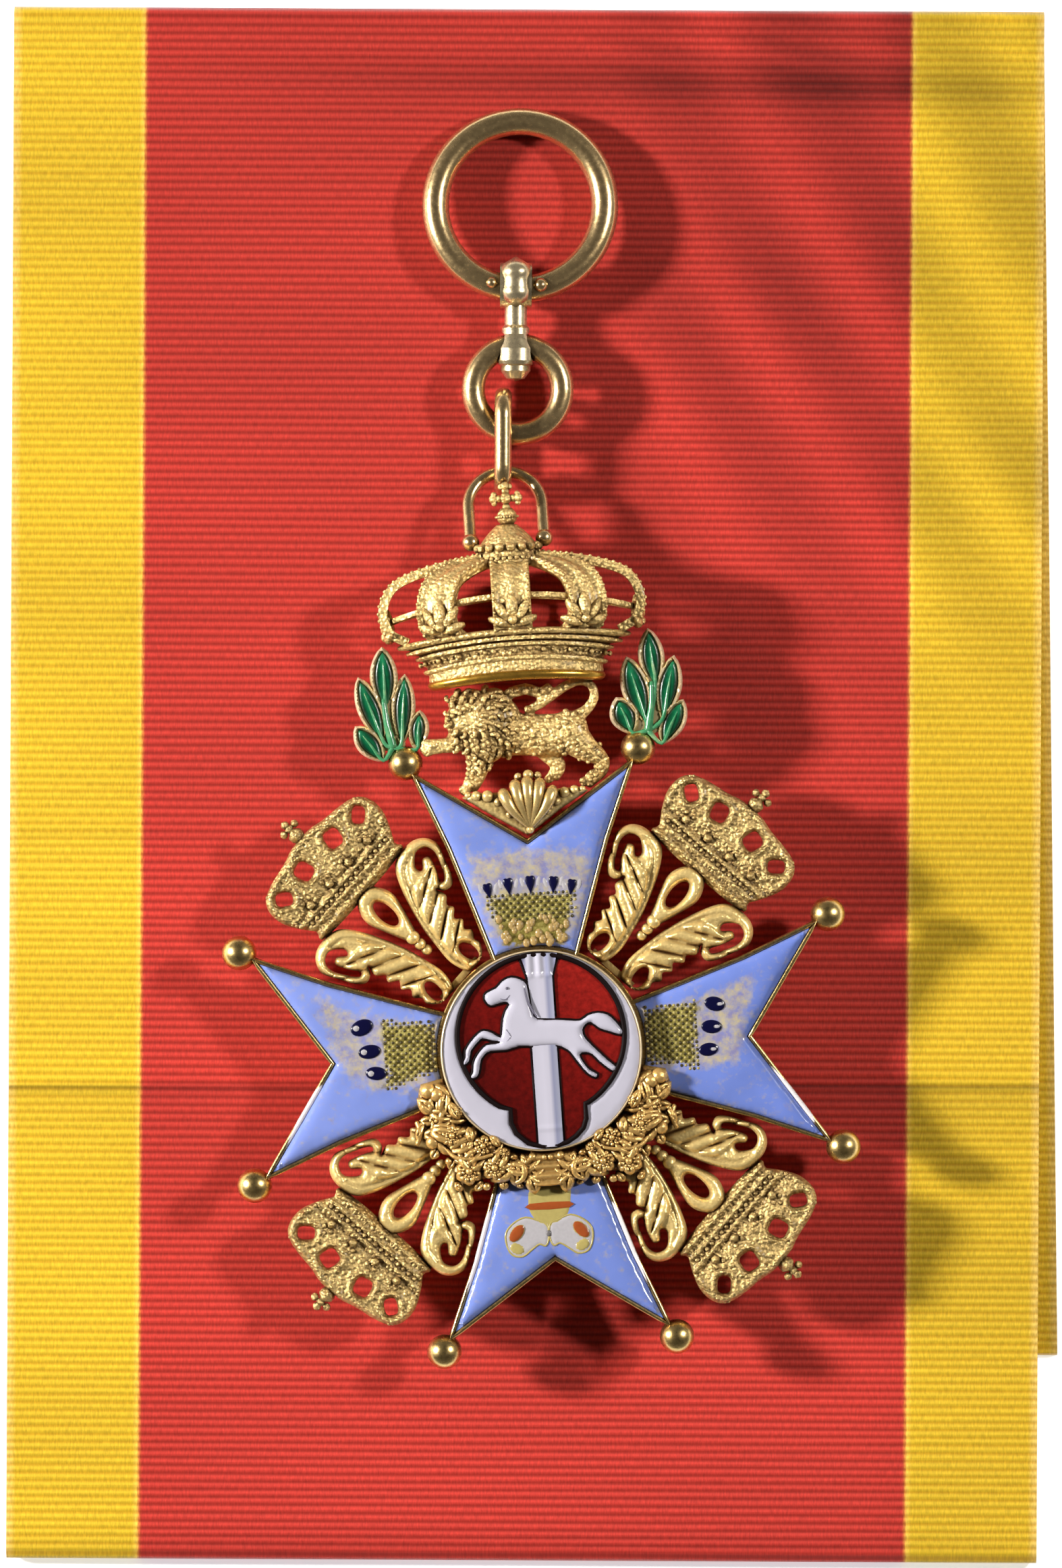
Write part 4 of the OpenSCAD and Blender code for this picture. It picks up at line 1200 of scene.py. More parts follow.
class BADGE_OT_medallion(PieceOperator, bpy.types.Operator):
    """Make the medallion with its field, column and leaping horse"""

    bl_idname = "badge.medallion"
    bl_label = "Medallion"

    def execute(self, context):
        settings = lengths_of("medallion")
        r = settings.radius
        bezel = lathe("bezel", [
            (0, 1.16), (r, 1.16), (r, 2.85), (r - 0.02, 3.0), (r - 0.07, 3.1), (r - 0.12, 3.12),
            (r - 0.18, 3.06), (r - 0.2, 2.98), (r - 0.2, 2.5), (0, 2.5),
        ])
        lay_on_badge("bezel", [bezel], ["bezel_gold"], "gilt", ["medallion_bezel"], 50)
        disc, hole = circle_line(r - 0.22, 96), field_line(settings, 0.06)
        white = relief("white", disc, 2.56, level(2.94, 0.14, 0.5), [hole], 0.4)
        material = ["white_enamel", white_glaze, 1.0, 0.9, 0.025, 0.16]
        replaced = ["medallion_white"]
        lay_on_badge("white_ring", [white], material, "white_enamel", replaced, 40)
        red = relief("red", field_line(settings), 2.56, level(2.92, 0.06, 0.6), spacing=0.5)
        material, replaced = ["red_enamel", field_red], ["medallion_red"]
        lay_on_badge("red_field", [lay_map(red)], material, "red_enamel", replaced, 40)
        self.column(settings.column / 2)
        self.horse()
        lines = [
            wall_line("field_edge", field_line(settings, -0.04), 3.05, 0.25),
            wall_line("horse_edge", rounded(HORSE, 2), 3.04, 0.16),
        ]
        for x in (-1.3, 1.3):
            left = COLUMN_X - 0.01 + x
            shaft = [(left, 0.3), (left + 0.04, -9.1)]
            head = [(left, 3.2), (left, 7.2), (left + x * 0.48, 9.2)]
            for path in (shaft, head):
                lines.append(wall_line("column_edge", path, 2.98, 0.12, 0, False))
        lay_on_badge("medallion_outlines", lines, ["dark_line"], "red_enamel")
        return {"FINISHED"}

    def column(self, half):
        shaft = [
            (-half, 0.5), (-half + 0.03, -9.2), (-0.5, -9.42), (0.6, -9.42), (half + 0.03, -9.2),
            (half, 0.5),
        ]
        head = [
            (-1.15, 6.4), (-0.95, 4.4), (-0.5, 3.2), (half, 3.05), (half, 7.2), (1.55, 8.4),
            (1.8, 9.42), (0, 9.5), (-1.8, 9.42), (-1.5, 8.4), (-half, 7.2),
        ]

        def barrel(x, radius):
            return np.sqrt(np.clip(1 - ((x - COLUMN_X) / radius) ** 2, 0, 1))

        def lower(x, y, d):
            return 3.02 + 0.28 * barrel(x, 1.4) + 0.1 * bell(y + 7.6, 0.22)

        def upper(x, y, d):
            flutes = 0.09 * np.cos((x - COLUMN_X) * 2 * np.pi / 0.95) * climb(y, 7.0, 0.6)
            return 3.02 + 0.26 * barrel(x, 2.2) + flutes + 0.08 * bell(y - 7.3, 0.18)

        shift = (COLUMN_X, 0)
        parts = [
            relief("shaft", np.array(shaft) + shift, 2.93, lower, spacing=0.22),
            relief("capital", np.array(head) + shift, 2.93, upper, spacing=0.16),
        ]
        column = lay_map(join("column", parts))
        material, replaced = ["column_white", column_white], ["medallion_column"]
        lay_on_badge("column", [column], material, "white_enamel", replaced, 40)

    def horse(self):
        horse = relief("horse", rounded(HORSE, 2), 2.93, level(3.1, 0.4, 0.8), spacing=0.18)
        material = ["horse_white", white_glaze, 1.06, 0.94, 0.02, 0.2]
        lay_on_badge("horse", [horse], material, "white_enamel", ["medallion_horse"], 60)
        marks = [beads("eye", [(-2.95, 6.3, 3.5, 0.15)])]
        for path, r in (
            ([(-1.25, 6.2, 3.46), (-1.0, 5.0, 3.46), (-0.6, 4.0, 3.46), (-0.2, 3.3, 3.44)], 0.11),
            ([(-3.9, 5.4, 3.42), (-3.2, 5.2, 3.46), (-2.7, 5.6, 3.5)], 0.045),
            ([(-3.3, 2.3, 3.5), (-2.9, 1.6, 3.5), (-3.3, 1.1, 3.48)], 0.045),
        ):
            marks.append(curved_wire("line", path, [r * 0.5, r, r * 0.5], 6))
        lay_on_badge("horse_lines", marks, ["grey_line"], "white_enamel")


# Corner ornaments: outlines run outwards along X, with half of each shape on +Y

# The corners, by their turn in degrees
CORNERS = {"ne": 45, "nw": 135, "sw": 225, "se": 315}
LEAF_HALF = [
    (10.45, 1.1), (12.3, 0.6), (14.5, 0.9), (16.5, 1.3), (19.2, 2.2), (21, 3.0), (22.4, 3.9),
    (23.0, 4.9), (23.1, 6.0), (22.9, 7.2), (22.2, 8.1), (21.0, 8.5), (19.6, 7.9), (18.0, 7.15),
    (17.2, 6.4), (17.4, 5.5), (18.1, 5.0), (17.0, 5.25), (16.3, 4.6), (15.6, 4.85), (14.9, 4.1),
    (14.2, 4.55), (13.5, 3.95), (12.8, 4.4), (12.1, 3.85), (11.4, 3.95), (10.45, 3.1), (10.35, 2),
]
LEAF_HOOK = [
    (18.1, 6.35), (19.3, 7.15), (20.6, 7.7), (21.6, 7.45), (21.95, 6.4), (21.0, 5.3),
    (20.35, 5.55), (21.0, 6.35), (20.8, 6.9), (20.3, 6.9), (19.2, 6.4), (18.3, 5.9),
]
LEAF_SPINE = [
    (10.6, 1.5), (12.6, 1.15), (15, 1.45), (17.5, 2.1), (19.6, 3.1), (21.6, 4.4), (22.2, 6.0)
]
LOOP_HALF = [(15.4, 0), (17.2, 0.75), (19.2, 1.45), (20.8, 1.9), (22.1, 1.65), (23.2, 0.8)]
CROWN_HALF = [
    (23, 5.2), (24.2, 5.8), (25.6, 6.7), (27.2, 7.4), (28.8, 7.4), (29.9, 6.7), (30.5, 5.2),
    (30.9, 2.8), (31.3, 1.2),
]
ORNAMENT_FOOT = -0.85


class BADGE_OT_corners(PieceOperator, bpy.types.Operator):
    """Cast the four pierced corner ornaments"""

    bl_idname = "badge.corners"
    bl_label = "Corner ornaments"

    def execute(self, context):
        leaves, crown = smooth(self.leaves(), 75), smooth(self.little_crown(), 75)
        for name, turn in CORNERS.items():
            place = ON_BADGE @ Matrix.Rotation(math.radians(turn), 4, "Z")
            piece = twin(leaves, "ornament_" + name)
            set_down(piece, place, finish("cast_gold"), ["corner_" + name], "gilt")
            piece = twin(crown, "ornament_crown_" + name)
            set_down(piece, place, finish("ornament_gold"), (), "gilt")
        for master in (leaves, crown):
            bpy.data.objects.remove(master)
        return {"FINISHED"}

    def leaves(self):
        """Two curled leaves with a loop between them."""
        spine = resampled(rounded(LEAF_SPINE, 4, False), 0.4, False)
        spine_x, spine_y = spine[:-4].T

        def leaf_top(x, y, d):
            across = y - np.interp(x, spine_x, spine_y)
            near = edge_distance(np.stack([x, y], 1), spine[:-1], spine[1:])
            comb = (x * 0.95 - across * 0.6) / 1.7
            step = comb - np.floor(comb)
            comb = 0.72 * np.sqrt(np.clip(1 - (2 * step - 1) ** 2, 0, 1)) - 0.42
            lobes = np.clip(across / 0.4, 0, 1) * (x < 20.0) * comb
            ring = 0.34 * bell(np.hypot((x - 11.7) * 0.62, y - 2.6) - 1.05, 0.2)
            hook = 0.2 * bell(np.hypot(x - 20.1, y - 6.0) - 2.15, 0.35) * (x > 17.6)
            return 0.3 + 0.68 * dome(d, 0.7) + lobes - 0.3 * bell(near, 0.2) + ring + hook

        holes = [rounded(LEAF_HOOK, 4), oval((11.7, 2.6), 1.15, 0.66, 24, -0.1)]
        leaf = relief("leaf", rounded(LEAF_HALF, 4), ORNAMENT_FOOT, leaf_top, holes, 0.18)
        loop, gap = rounded(both_sides(LOOP_HALF)[:-1], 4), oval((20.2, 0), 1.55, 0.74)
        root = [(10.26, -2.6), (10.9, -2.6), (10.9, 2.6), (10.26, 2.6)]
        return join("ornament", [
            leaf, mirrored(leaf, (0, 1, 0)),
            relief("loop", loop, ORNAMENT_FOOT, level(0.1, 1.0, 0.65), [gap], 0.2),
            beads("stem", [(16.7, 0, 0.55, 0.72), (15.75, 0, 0.35, 0.6), (14.9, 0, 0.1, 0.55)]),
            relief("root", root, ORNAMENT_FOOT, level(0.2)),
        ])

    def little_crown(self):
        outline = rounded(both_sides(CROWN_HALF), 4)
        windows = [
            (x, s * y, a, b, s * turn) for s in (1, -1)
            for x, y, a, b, turn in ((28.6, 5.5, 0.85, 0.66, 0.9), (28.95, 2.15, 0.92, 0.84, 0.25))
        ]
        holes = [oval((x, y), a, b, 22, turn, 0.62) for x, y, a, b, turn in windows]

        def top(x, y, d):
            bands = 0.16 * np.cos((x - 23.6) * 2 * np.pi / 0.95) * (x < 26.1)
            bands += 0.18 * climb(x, 26.1, 1.0) - 0.25 * (1 - climb(x, 23.0, 0.5))
            rim = 0.22 * bell(d - 0.42, 0.2) * (x > 26.1)
            return 0.5 + 0.5 * dome(d, 0.6) + bands + rim + 0.11 * grain(x, y, 0.95)

        crown = relief("little_crown", outline, ORNAMENT_FOOT, top, holes, 0.19)
        rim = resampled(outline, 0.62)
        rows = [(x - 0.3 * (x > 30), y * 0.955, 0.8, 0.27) for x, y in rim[rim[:, 0] > 25.4]]
        for x, y, a, b, turn in windows:
            ring = oval((x, y), a + 0.3, b + 0.3, 14, turn, 0.75)
            rows += [(*spot, 0.95, 0.2) for spot in ring]
        rows += [(25.0, y, 0.95, 0.27) for y in np.arange(-5.4, 5.5, 0.72)]
        for y in (-4.2, -1.4, 1.4, 4.2):
            rows += [(26.3, y, 1.1, 0.5), (27.4, y, 1.05, 0.32)]
            rows += [(26.9, y + s * 0.45, 1.05, 0.32) for s in (-1, 1)]
        rows += [(31.8, 0, 0.35, 0.9), (33.3, 0, 0.3, 0.48), (32.75, 0, 0.3, 0.5)]
        for s in (1, -1):
            rows += [(32.75, s * 0.75, 0.3, 0.45), (30.6, s * 0.8, 0.8, 0.4)]
        return join("little_crown", [crown, beads("grains", rows, 1)])


# Laurel sprays: gilt frames with pillowed green leaves

LAURELS = {
    # Base and tip of each leaf, and half its width
    "left": [
        (-12.95, 34.4, -12.95, 39.9, 0.9), (-11.65, 31.0, -10.95, 37.1, 0.74),
        (-13.45, 31.3, -15.35, 37.1, 0.82), (-10.2, 30.4, -9.7, 33.5, 0.6),
        (-13.7, 29.5, -15.8, 32.4, 0.8),
    ],
    "right": [
        (13.45, 35.0, 13.15, 40.0, 0.82), (12.3, 31.6, 10.95, 37.4, 0.95),
        (14.05, 31.8, 15.4, 37.2, 0.84), (10.9, 30.6, 9.75, 33.5, 0.95),
        (13.9, 29.4, 15.9, 32.9, 0.8),
    ],
}
LAUREL_STEM = [
    (11.3, 30.6), (12.6, 30.1), (13.7, 30.5), (14.6, 31.9), (13.9, 34.0), (13.3, 35.8),
    (12.6, 36.2), (11.6, 33.2),
]


def leaf_green(name):
    """Translucent green, darker where it lies deep along a leaf's edge."""
    made = Finish(name)
    green = shade("finish", "green")
    deep, pale = (0.0, 0.014, 0.005), (0.012, 0.17, 0.07)
    tone = made.ramp(made.read("depth"), [(0.1, deep), (0.6, green), (0.95, pale)])
    cloud = made.ramp(made.noise(made.place(), 1.8, 3), [(0.3, 0.7), (0.7, 1.25)])
    made.set(base_color=made.times(tone, cloud), roughness=0.3)
    made.set(coat_weight=0.12, coat_roughness=0.2)
    made.bump(made.noise(made.place(), 1.5, 2), 0.3, 0.03)
    return made


def pale_green(name):
    """Thin green over gold between the leaves, from mid green to a pale sheen."""
    made = Finish(name)
    tone = made.ramp(made.noise(made.place(), 0.8, 3, 0.6), [
        (0.3, (0.03, 0.20, 0.08)), (0.5, (0.07, 0.27, 0.12)), (0.7, (0.26, 0.42, 0.20))
    ])
    made.set(base_color=tone, roughness=0.2, coat_weight=0.5, coat_roughness=0.06)
    made.bump(made.noise(made.place(), 1.6, 2), 0.3, 0.03)
    return made


class BADGE_OT_laurels(PieceOperator, bpy.types.Operator):
    """Make the two laurel sprays"""

    bl_idname = "badge.laurels"
    bl_label = "Laurels"

    def execute(self, context):
        for name, side in (("left", -1), ("right", 1)):
            stem = np.array(LAUREL_STEM)[::side] * (side, 1)
            frames = [relief("stem", rounded(stem, 3), -0.7, level(0.3, 0.1, 0.5), spacing=0.4)]
            foot = np.array([side * 12.5, 30.5, 0.55])
            fork = np.array([side * 13.0, 33.0, 0.66])
            trunk = [foot, (foot + fork) / 2, fork, fork + (side * 0.15, 2.2, 0)]
            veins = [curved_wire("trunk", trunk, [0.42, 0.4, 0.3, 0.2], 8)]
            leaves = []
            for x0, y0, x1, y1, half in LAURELS[name]:
                base, reach = np.array([x0, y0]), np.array([x1 - x0, y1 - y0])
                along = reach / np.linalg.norm(reach)
                tip, over = base + reach, along * 0.48
                rim, cell = (
                    leaf_line(base - o, tip + o, h, 14) for o, h in ((over, half + 0.48), (0, half))
                )
                frames.append(relief("frame", rim, -0.7, level(0.42, 0.3, 0.2), [cell], 0.2))
                frames.append(relief("bed", rim, -0.7, level(0.1), spacing=0.5))
                leaves.append(self.leaf(base, tip, along, half))
                path = [
                    foot, (*(base - along * 0.3), 0.62), (*(base + reach * 0.45), 0.7),
                    (*(base + reach * 0.8), 0.66),
                ]
                veins.append(curved_wire("vein", path, [0.3, 0.2, 0.13, 0.04], 7))
            for kind, parts, material, slot, replaced, angle in (
                ("frame_", frames, ["bezel_gold"], "gilt", ["laurel_" + name], 50),
                ("leaves_", leaves, ["leaf_green", leaf_green], "green_enamel",
                 ["laurel_enamel_" + name], 60),
                ("veins_", veins, ["pale_green", pale_green], "green_enamel", (), 60),
            ):
                lay_on_badge("laurel_" + kind + name, parts, material, slot, replaced, angle)
        return {"FINISHED"}

    def leaf(self, base, tip, along, half):
        outline = leaf_line(base + along * 0.05, tip - along * 0.05, half - 0.03, 14)
        leaf = relief("leaf", outline, 0.12, level(0.5, 0.18, 0.35), spacing=0.14)
        off = (spots_of(leaf)[:, :2] - base) @ (along[1], -along[0])
        return mark(leaf, "depth", np.clip(1 - np.abs(off) / (half * 0.85), 0, 1))


# Garland of flowers, leaves and loops along the medallion's lower half

BLOOMS = [
    # Place, height, radius and number of petals, left of the middle
    (-9.25, -7.7, 2.9, 1.25, 6), (-6.3, -8.9, 3.0, 1.15, 5), (-7.8, -11.3, 2.6, 1.45, 6),
    (-5.3, -11.1, 2.9, 1.35, 6), (-10.7, -6.2, 2.4, 0.8, 5), (-3.5, -11.3, 2.7, 0.8, 5),
    (-8.6, -5.4, 3.0, 0.7, 5), (-4.3, -9.8, 3.1, 0.65, 5),
]
GARLAND_LEAVES = [
    # Base, tip, half width and height
    (-9.4, -4.3, -8.4, -6.2, 0.55, 3.1), (-7.6, -6.9, -7.4, -8.6, 0.5, 3.2),
    (-5.6, -7.9, -4.6, -9.1, 0.45, 3.2), (-11.9, -6.0, -12.7, -8.0, 0.42, 2.2),
    (-10.6, -8.7, -11.4, -9.9, 0.5, 2.2), (-9.0, -9.6, -9.8, -11.0, 0.5, 2.3),
    (-6.5, -12.2, -7.3, -13.3, 0.5, 2.2), (-4.6, -12.2, -4.4, -13.4, 0.5, 2.2),
    (-2.6, -9.9, -2.2, -11.2, 0.4, 3.0), (-3.4, -12.4, -2.6, -13.3, 0.42, 2.2),
    (-9.3, -12.3, -8.6, -13.2, 0.4, 2.1), (-2.9, -10.3, -3.8, -10.1, 0.3, 3.1),
]
GARLAND_STEMS = [
    # Points in space and radius
    ([(-9.7, -3.6, 2.4), (-9.9, -5.0, 2.6), (-10.3, -6.2, 2.6), (-10.4, -7.3, 2.5)], 0.36),
    ([(-11.2, -5.6, 2.0), (-11.0, -6.6, 2.4), (-11.5, -7.6, 2.2)], 0.24),
    ([(-12.6, -6.2, 1.9), (-12.3, -7.2, 2.1), (-12.7, -8.4, 1.9)], 0.3),
    ([(-2.9, -10.7, 2.9), (-2.4, -11.4, 3.1), (-2.6, -12.3, 2.9), (-3.3, -12.7, 2.6)], 0.34),
    ([(-9.9, -9.0, 2.6), (-8.9, -9.9, 2.9), (-7.0, -10.1, 3.1), (-5.4, -9.8, 3.2)], 0.25),
]
BERRIES = [
    (-11.3, -3.25, 2.3, 0.85), (-10.45, -3.65, 2.4, 0.8), (-11.15, -8.25, 2.3, 0.72),
    (-7.6, -9.7, 2.9, 0.42), (-6.2, -12.9, 2.2, 0.42), (-9.7, -10.2, 2.3, 0.4),
]


class BADGE_OT_garland(PieceOperator, bpy.types.Operator):
    """Make the garland of flowers"""

    bl_idname = "badge.garland"
    bl_label = "Garland"

    def execute(self, context):
        half = join("half_garland", self.half())
        parts = [half, mirrored(half, (1, 0, 0)), *self.clasp(), self.bed()]
        lay_on_badge("flower_garland", parts, ["garland_gold"], "gilt", ["garland"], 70)
        return {"FINISHED"}

    def bed(self):
        """Low ground under the flowers, in a half ring."""
        turns = np.radians(np.linspace(-168, -12, 60))
        ring = np.stack([np.cos(turns), np.sin(turns)], 1)
        inner = ring * (lengths_of("medallion").radius + 0.12)
        outer = ring * (12.5 + 0.6 * np.sin(turns * 13))[:, None]

        def top(x, y, d):
            return 1.6 + 0.4 * dome(d, 0.9) + 0.1 * grain(x, y, 1.3)

        return relief("bed", np.vstack([outer, inner[::-1]]), 1.45, top)

    def half(self):
        parts = [self.bloom(*bloom) for bloom in BLOOMS]
        for x0, y0, x1, y1, half, z in GARLAND_LEAVES:
            parts.append(self.leaf((x0, y0), (x1, y1), half, z))
        for path, r in GARLAND_STEMS:
            parts.append(curved_wire("stem", path, [r * 0.8, r, r * 0.7], 8, 5))
        return [*parts, self.foliage(), beads("berries", BERRIES)]

    def foliage(self):
        """Small curled leaves that cover the ground between the blooms."""
        draw = np.random.default_rng(8).uniform
        places = []
        for _ in range(50):
            turn, reach = math.radians(draw(-163, -93)), draw(10.4, 13.2)
            z = 1.95 + draw(0, 0.6) - 0.15 * max(0, reach - 12.2)
            spot = (reach * math.cos(turn), reach * math.sin(turn), z)
            places.append((*spot, draw(1.4, 2.3), draw(0, 6.3)))
        return scattered("foliage", self.leaf((-0.75, 0.0), (0.8, 0.0), 0.42, 0.2), places)

    def bloom(self, x, y, z, r, count):
        """A rosette of two rings of leaves round a small heart."""
        whole = []
        for share, lift, ring in ((1.0, -0.15, count), (0.62, 0.12, count - 1)):
            start = x * 1.7 + y + share * 2
            petals = [
                (x, y, z + lift, r * share, start + k * 2 * math.pi / ring) for k in range(ring)
            ]
            petal = self.leaf((0.05, 0.0), (1.0, 0.0), 0.42, 0.2)
            whole.append(scattered("petals", petal, petals))
        return join("bloom", [*whole, beads("heart", [(x, y, z + 0.4, 0.26 * r)])])

    def leaf(self, base, tip, half, z):
        base, tip = np.array(base), np.array(tip)
        along = (tip - base) / np.linalg.norm(tip - base)

        def top(x, y, d):
            across = (x - base[0]) * along[1] - (y - base[1]) * along[0]
            return z - 0.1 + 0.35 * dome(d, half * 0.8) - 0.22 * bell(across, 0.1)

        return relief("leaf", leaf_line(base, tip, half, 10), z - 0.6, top, spacing=0.16)

    def clasp(self):
        """Folded band with cross bars in the garland's middle."""
        outline = rounded([
            (-1.7, -9.75), (-1.55, -11.0), (-1.75, -12.9), (-0.9, -13.2), (0.6, -13.2),
            (1.3, -12.9), (1.15, -11.0), (1.35, -9.75), (0.3, -9.95), (-0.7, -9.95),
        ], 3)

        def top(x, y, d):
            return 2.7 + 0.35 * dome(d, 0.4) + 0.16 * np.cos((y + 10.4) * 2 * np.pi / 0.92)

        band = relief("clasp", outline, 1.5, top, spacing=0.16)
        return [band, beads("clasp_ends", [
            (-1.55, -10.3, 2.9, 0.42), (1.2, -10.3, 2.9, 0.42), (-0.4, -10.4, 3.1, 0.3),
            (0.2, -10.4, 3.1, 0.3),
        ])]


# Painted enamel on the arms: feather eyes, dotted fans and a little crown over two blooms

PAINT_FOOT, PAINT_TOP = 1.3, 1.48
EYES = {
    # In the arm's own axes, with +Y outwards: place, half width, half length and turn
    "top": [
        (-4.15, 15.9, 0.66, 0.82, 0.2), (-2.15, 16.2, 0.7, 0.9, 0.1), (0, 16.25, 0.7, 0.95, 0),
        (2.25, 16.1, 0.7, 0.9, -0.1), (4.0, 15.75, 0.66, 0.85, -0.2),
    ],
    "left": [
        (3.35, 17.35, 0.78, 1.12, 0.35), (0.95, 16.75, 0.68, 1.1, 0.1),
        (-1.2, 16.25, 0.66, 1.02, -0.1),
    ],
    "right": [
        (-3.4, 17.2, 0.7, 1.0, -0.3), (-1.2, 16.75, 0.66, 1.0, -0.1), (1.0, 16.3, 0.64, 0.95, 0.1)
    ],
}
# Outlines of each arm's fan and of the haze of plumes round it, in the arm's own axes
FANS = {
    "top": [(-3.4, 9.7), (3.6, 9.7), (4.9, 15.7), (0, 16.0), (-4.8, 15.7)],
    "left": [
        (-1.6, 9.6), (3.6, 9.6), (4.3, 16.1), (2.2, 16.1), (0, 15.9), (-1.6, 15.6), (-3.7, 16.8)
    ],
    "right": [
        (-3.6, 9.6), (2.0, 9.6), (3.4, 16.4), (1.6, 15.5), (0, 15.7), (-2.2, 16.0), (-4.4, 16.4)
    ],
}
PLUMES = {
    "top": [
        (-4.6, 10.2), (4.6, 10.2), (5.7, 14), (6.7, 17), (6.6, 19.9), (0, 20.3), (-6.4, 19.9),
        (-6.4, 17), (-5.4, 14),
    ],
    "left": [
        (-3.5, 10.5), (3.8, 10.5), (4.3, 13), (4.8, 16), (5.4, 18), (7.0, 20.4), (6.8, 22.4),
        (5.0, 22.0), (3.0, 21.3), (0, 20.6), (-2.2, 19.0), (-3.3, 17), (-3.6, 13),
    ],
    "right": [
        (-3.8, 10.5), (3.5, 10.5), (3.4, 15.5), (3.1, 17.6), (2.8, 19.8), (0.5, 20.4), (-2, 21.0),
        (-5.5, 21.6), (-6.6, 20.8), (-5.5, 18), (-4.7, 15.5),
    ],
}
# The outlines that each vertex of the blue enamel is marked with, and how softly they begin
PAINTED_AREAS = {"fan": (FANS, 1.3), "plume": (PLUMES, 2.0)}
# The pale pieces hold the pale paint and the eyes' shines, which are painted highlights
PAINTED_PIECES = {
    "navy": ("feather_eyes", "navy_paint"), "pale": ("pale_paint", "pale_paint"),
    "dark": ("dark_dots", "dark_paint"), "gold": ("gold_paint", "gold_paint"),
}


def painted(line, lift, swell, width, spacing=0.16):
    """A raised patch of paint."""
    return relief("paint", line, PAINT_FOOT, level(PAINT_TOP + lift, swell, width), (), spacing)


def eye_line(x, y, half, length, turn, heart):
    """Outline of a feather's eye: an oval, or a heart pointing inwards."""
    t = np.arange(26) * np.pi / 13
    across, along = np.sin(t) * half, -np.cos(t) * length
    if heart:
        along = along - 0.16 * bell(across, 0.2) * (along > 0)
        across = across * (0.55 + 0.45 * along / length)
    return turned(np.stack([across, along], 1), turn) + (x, y)


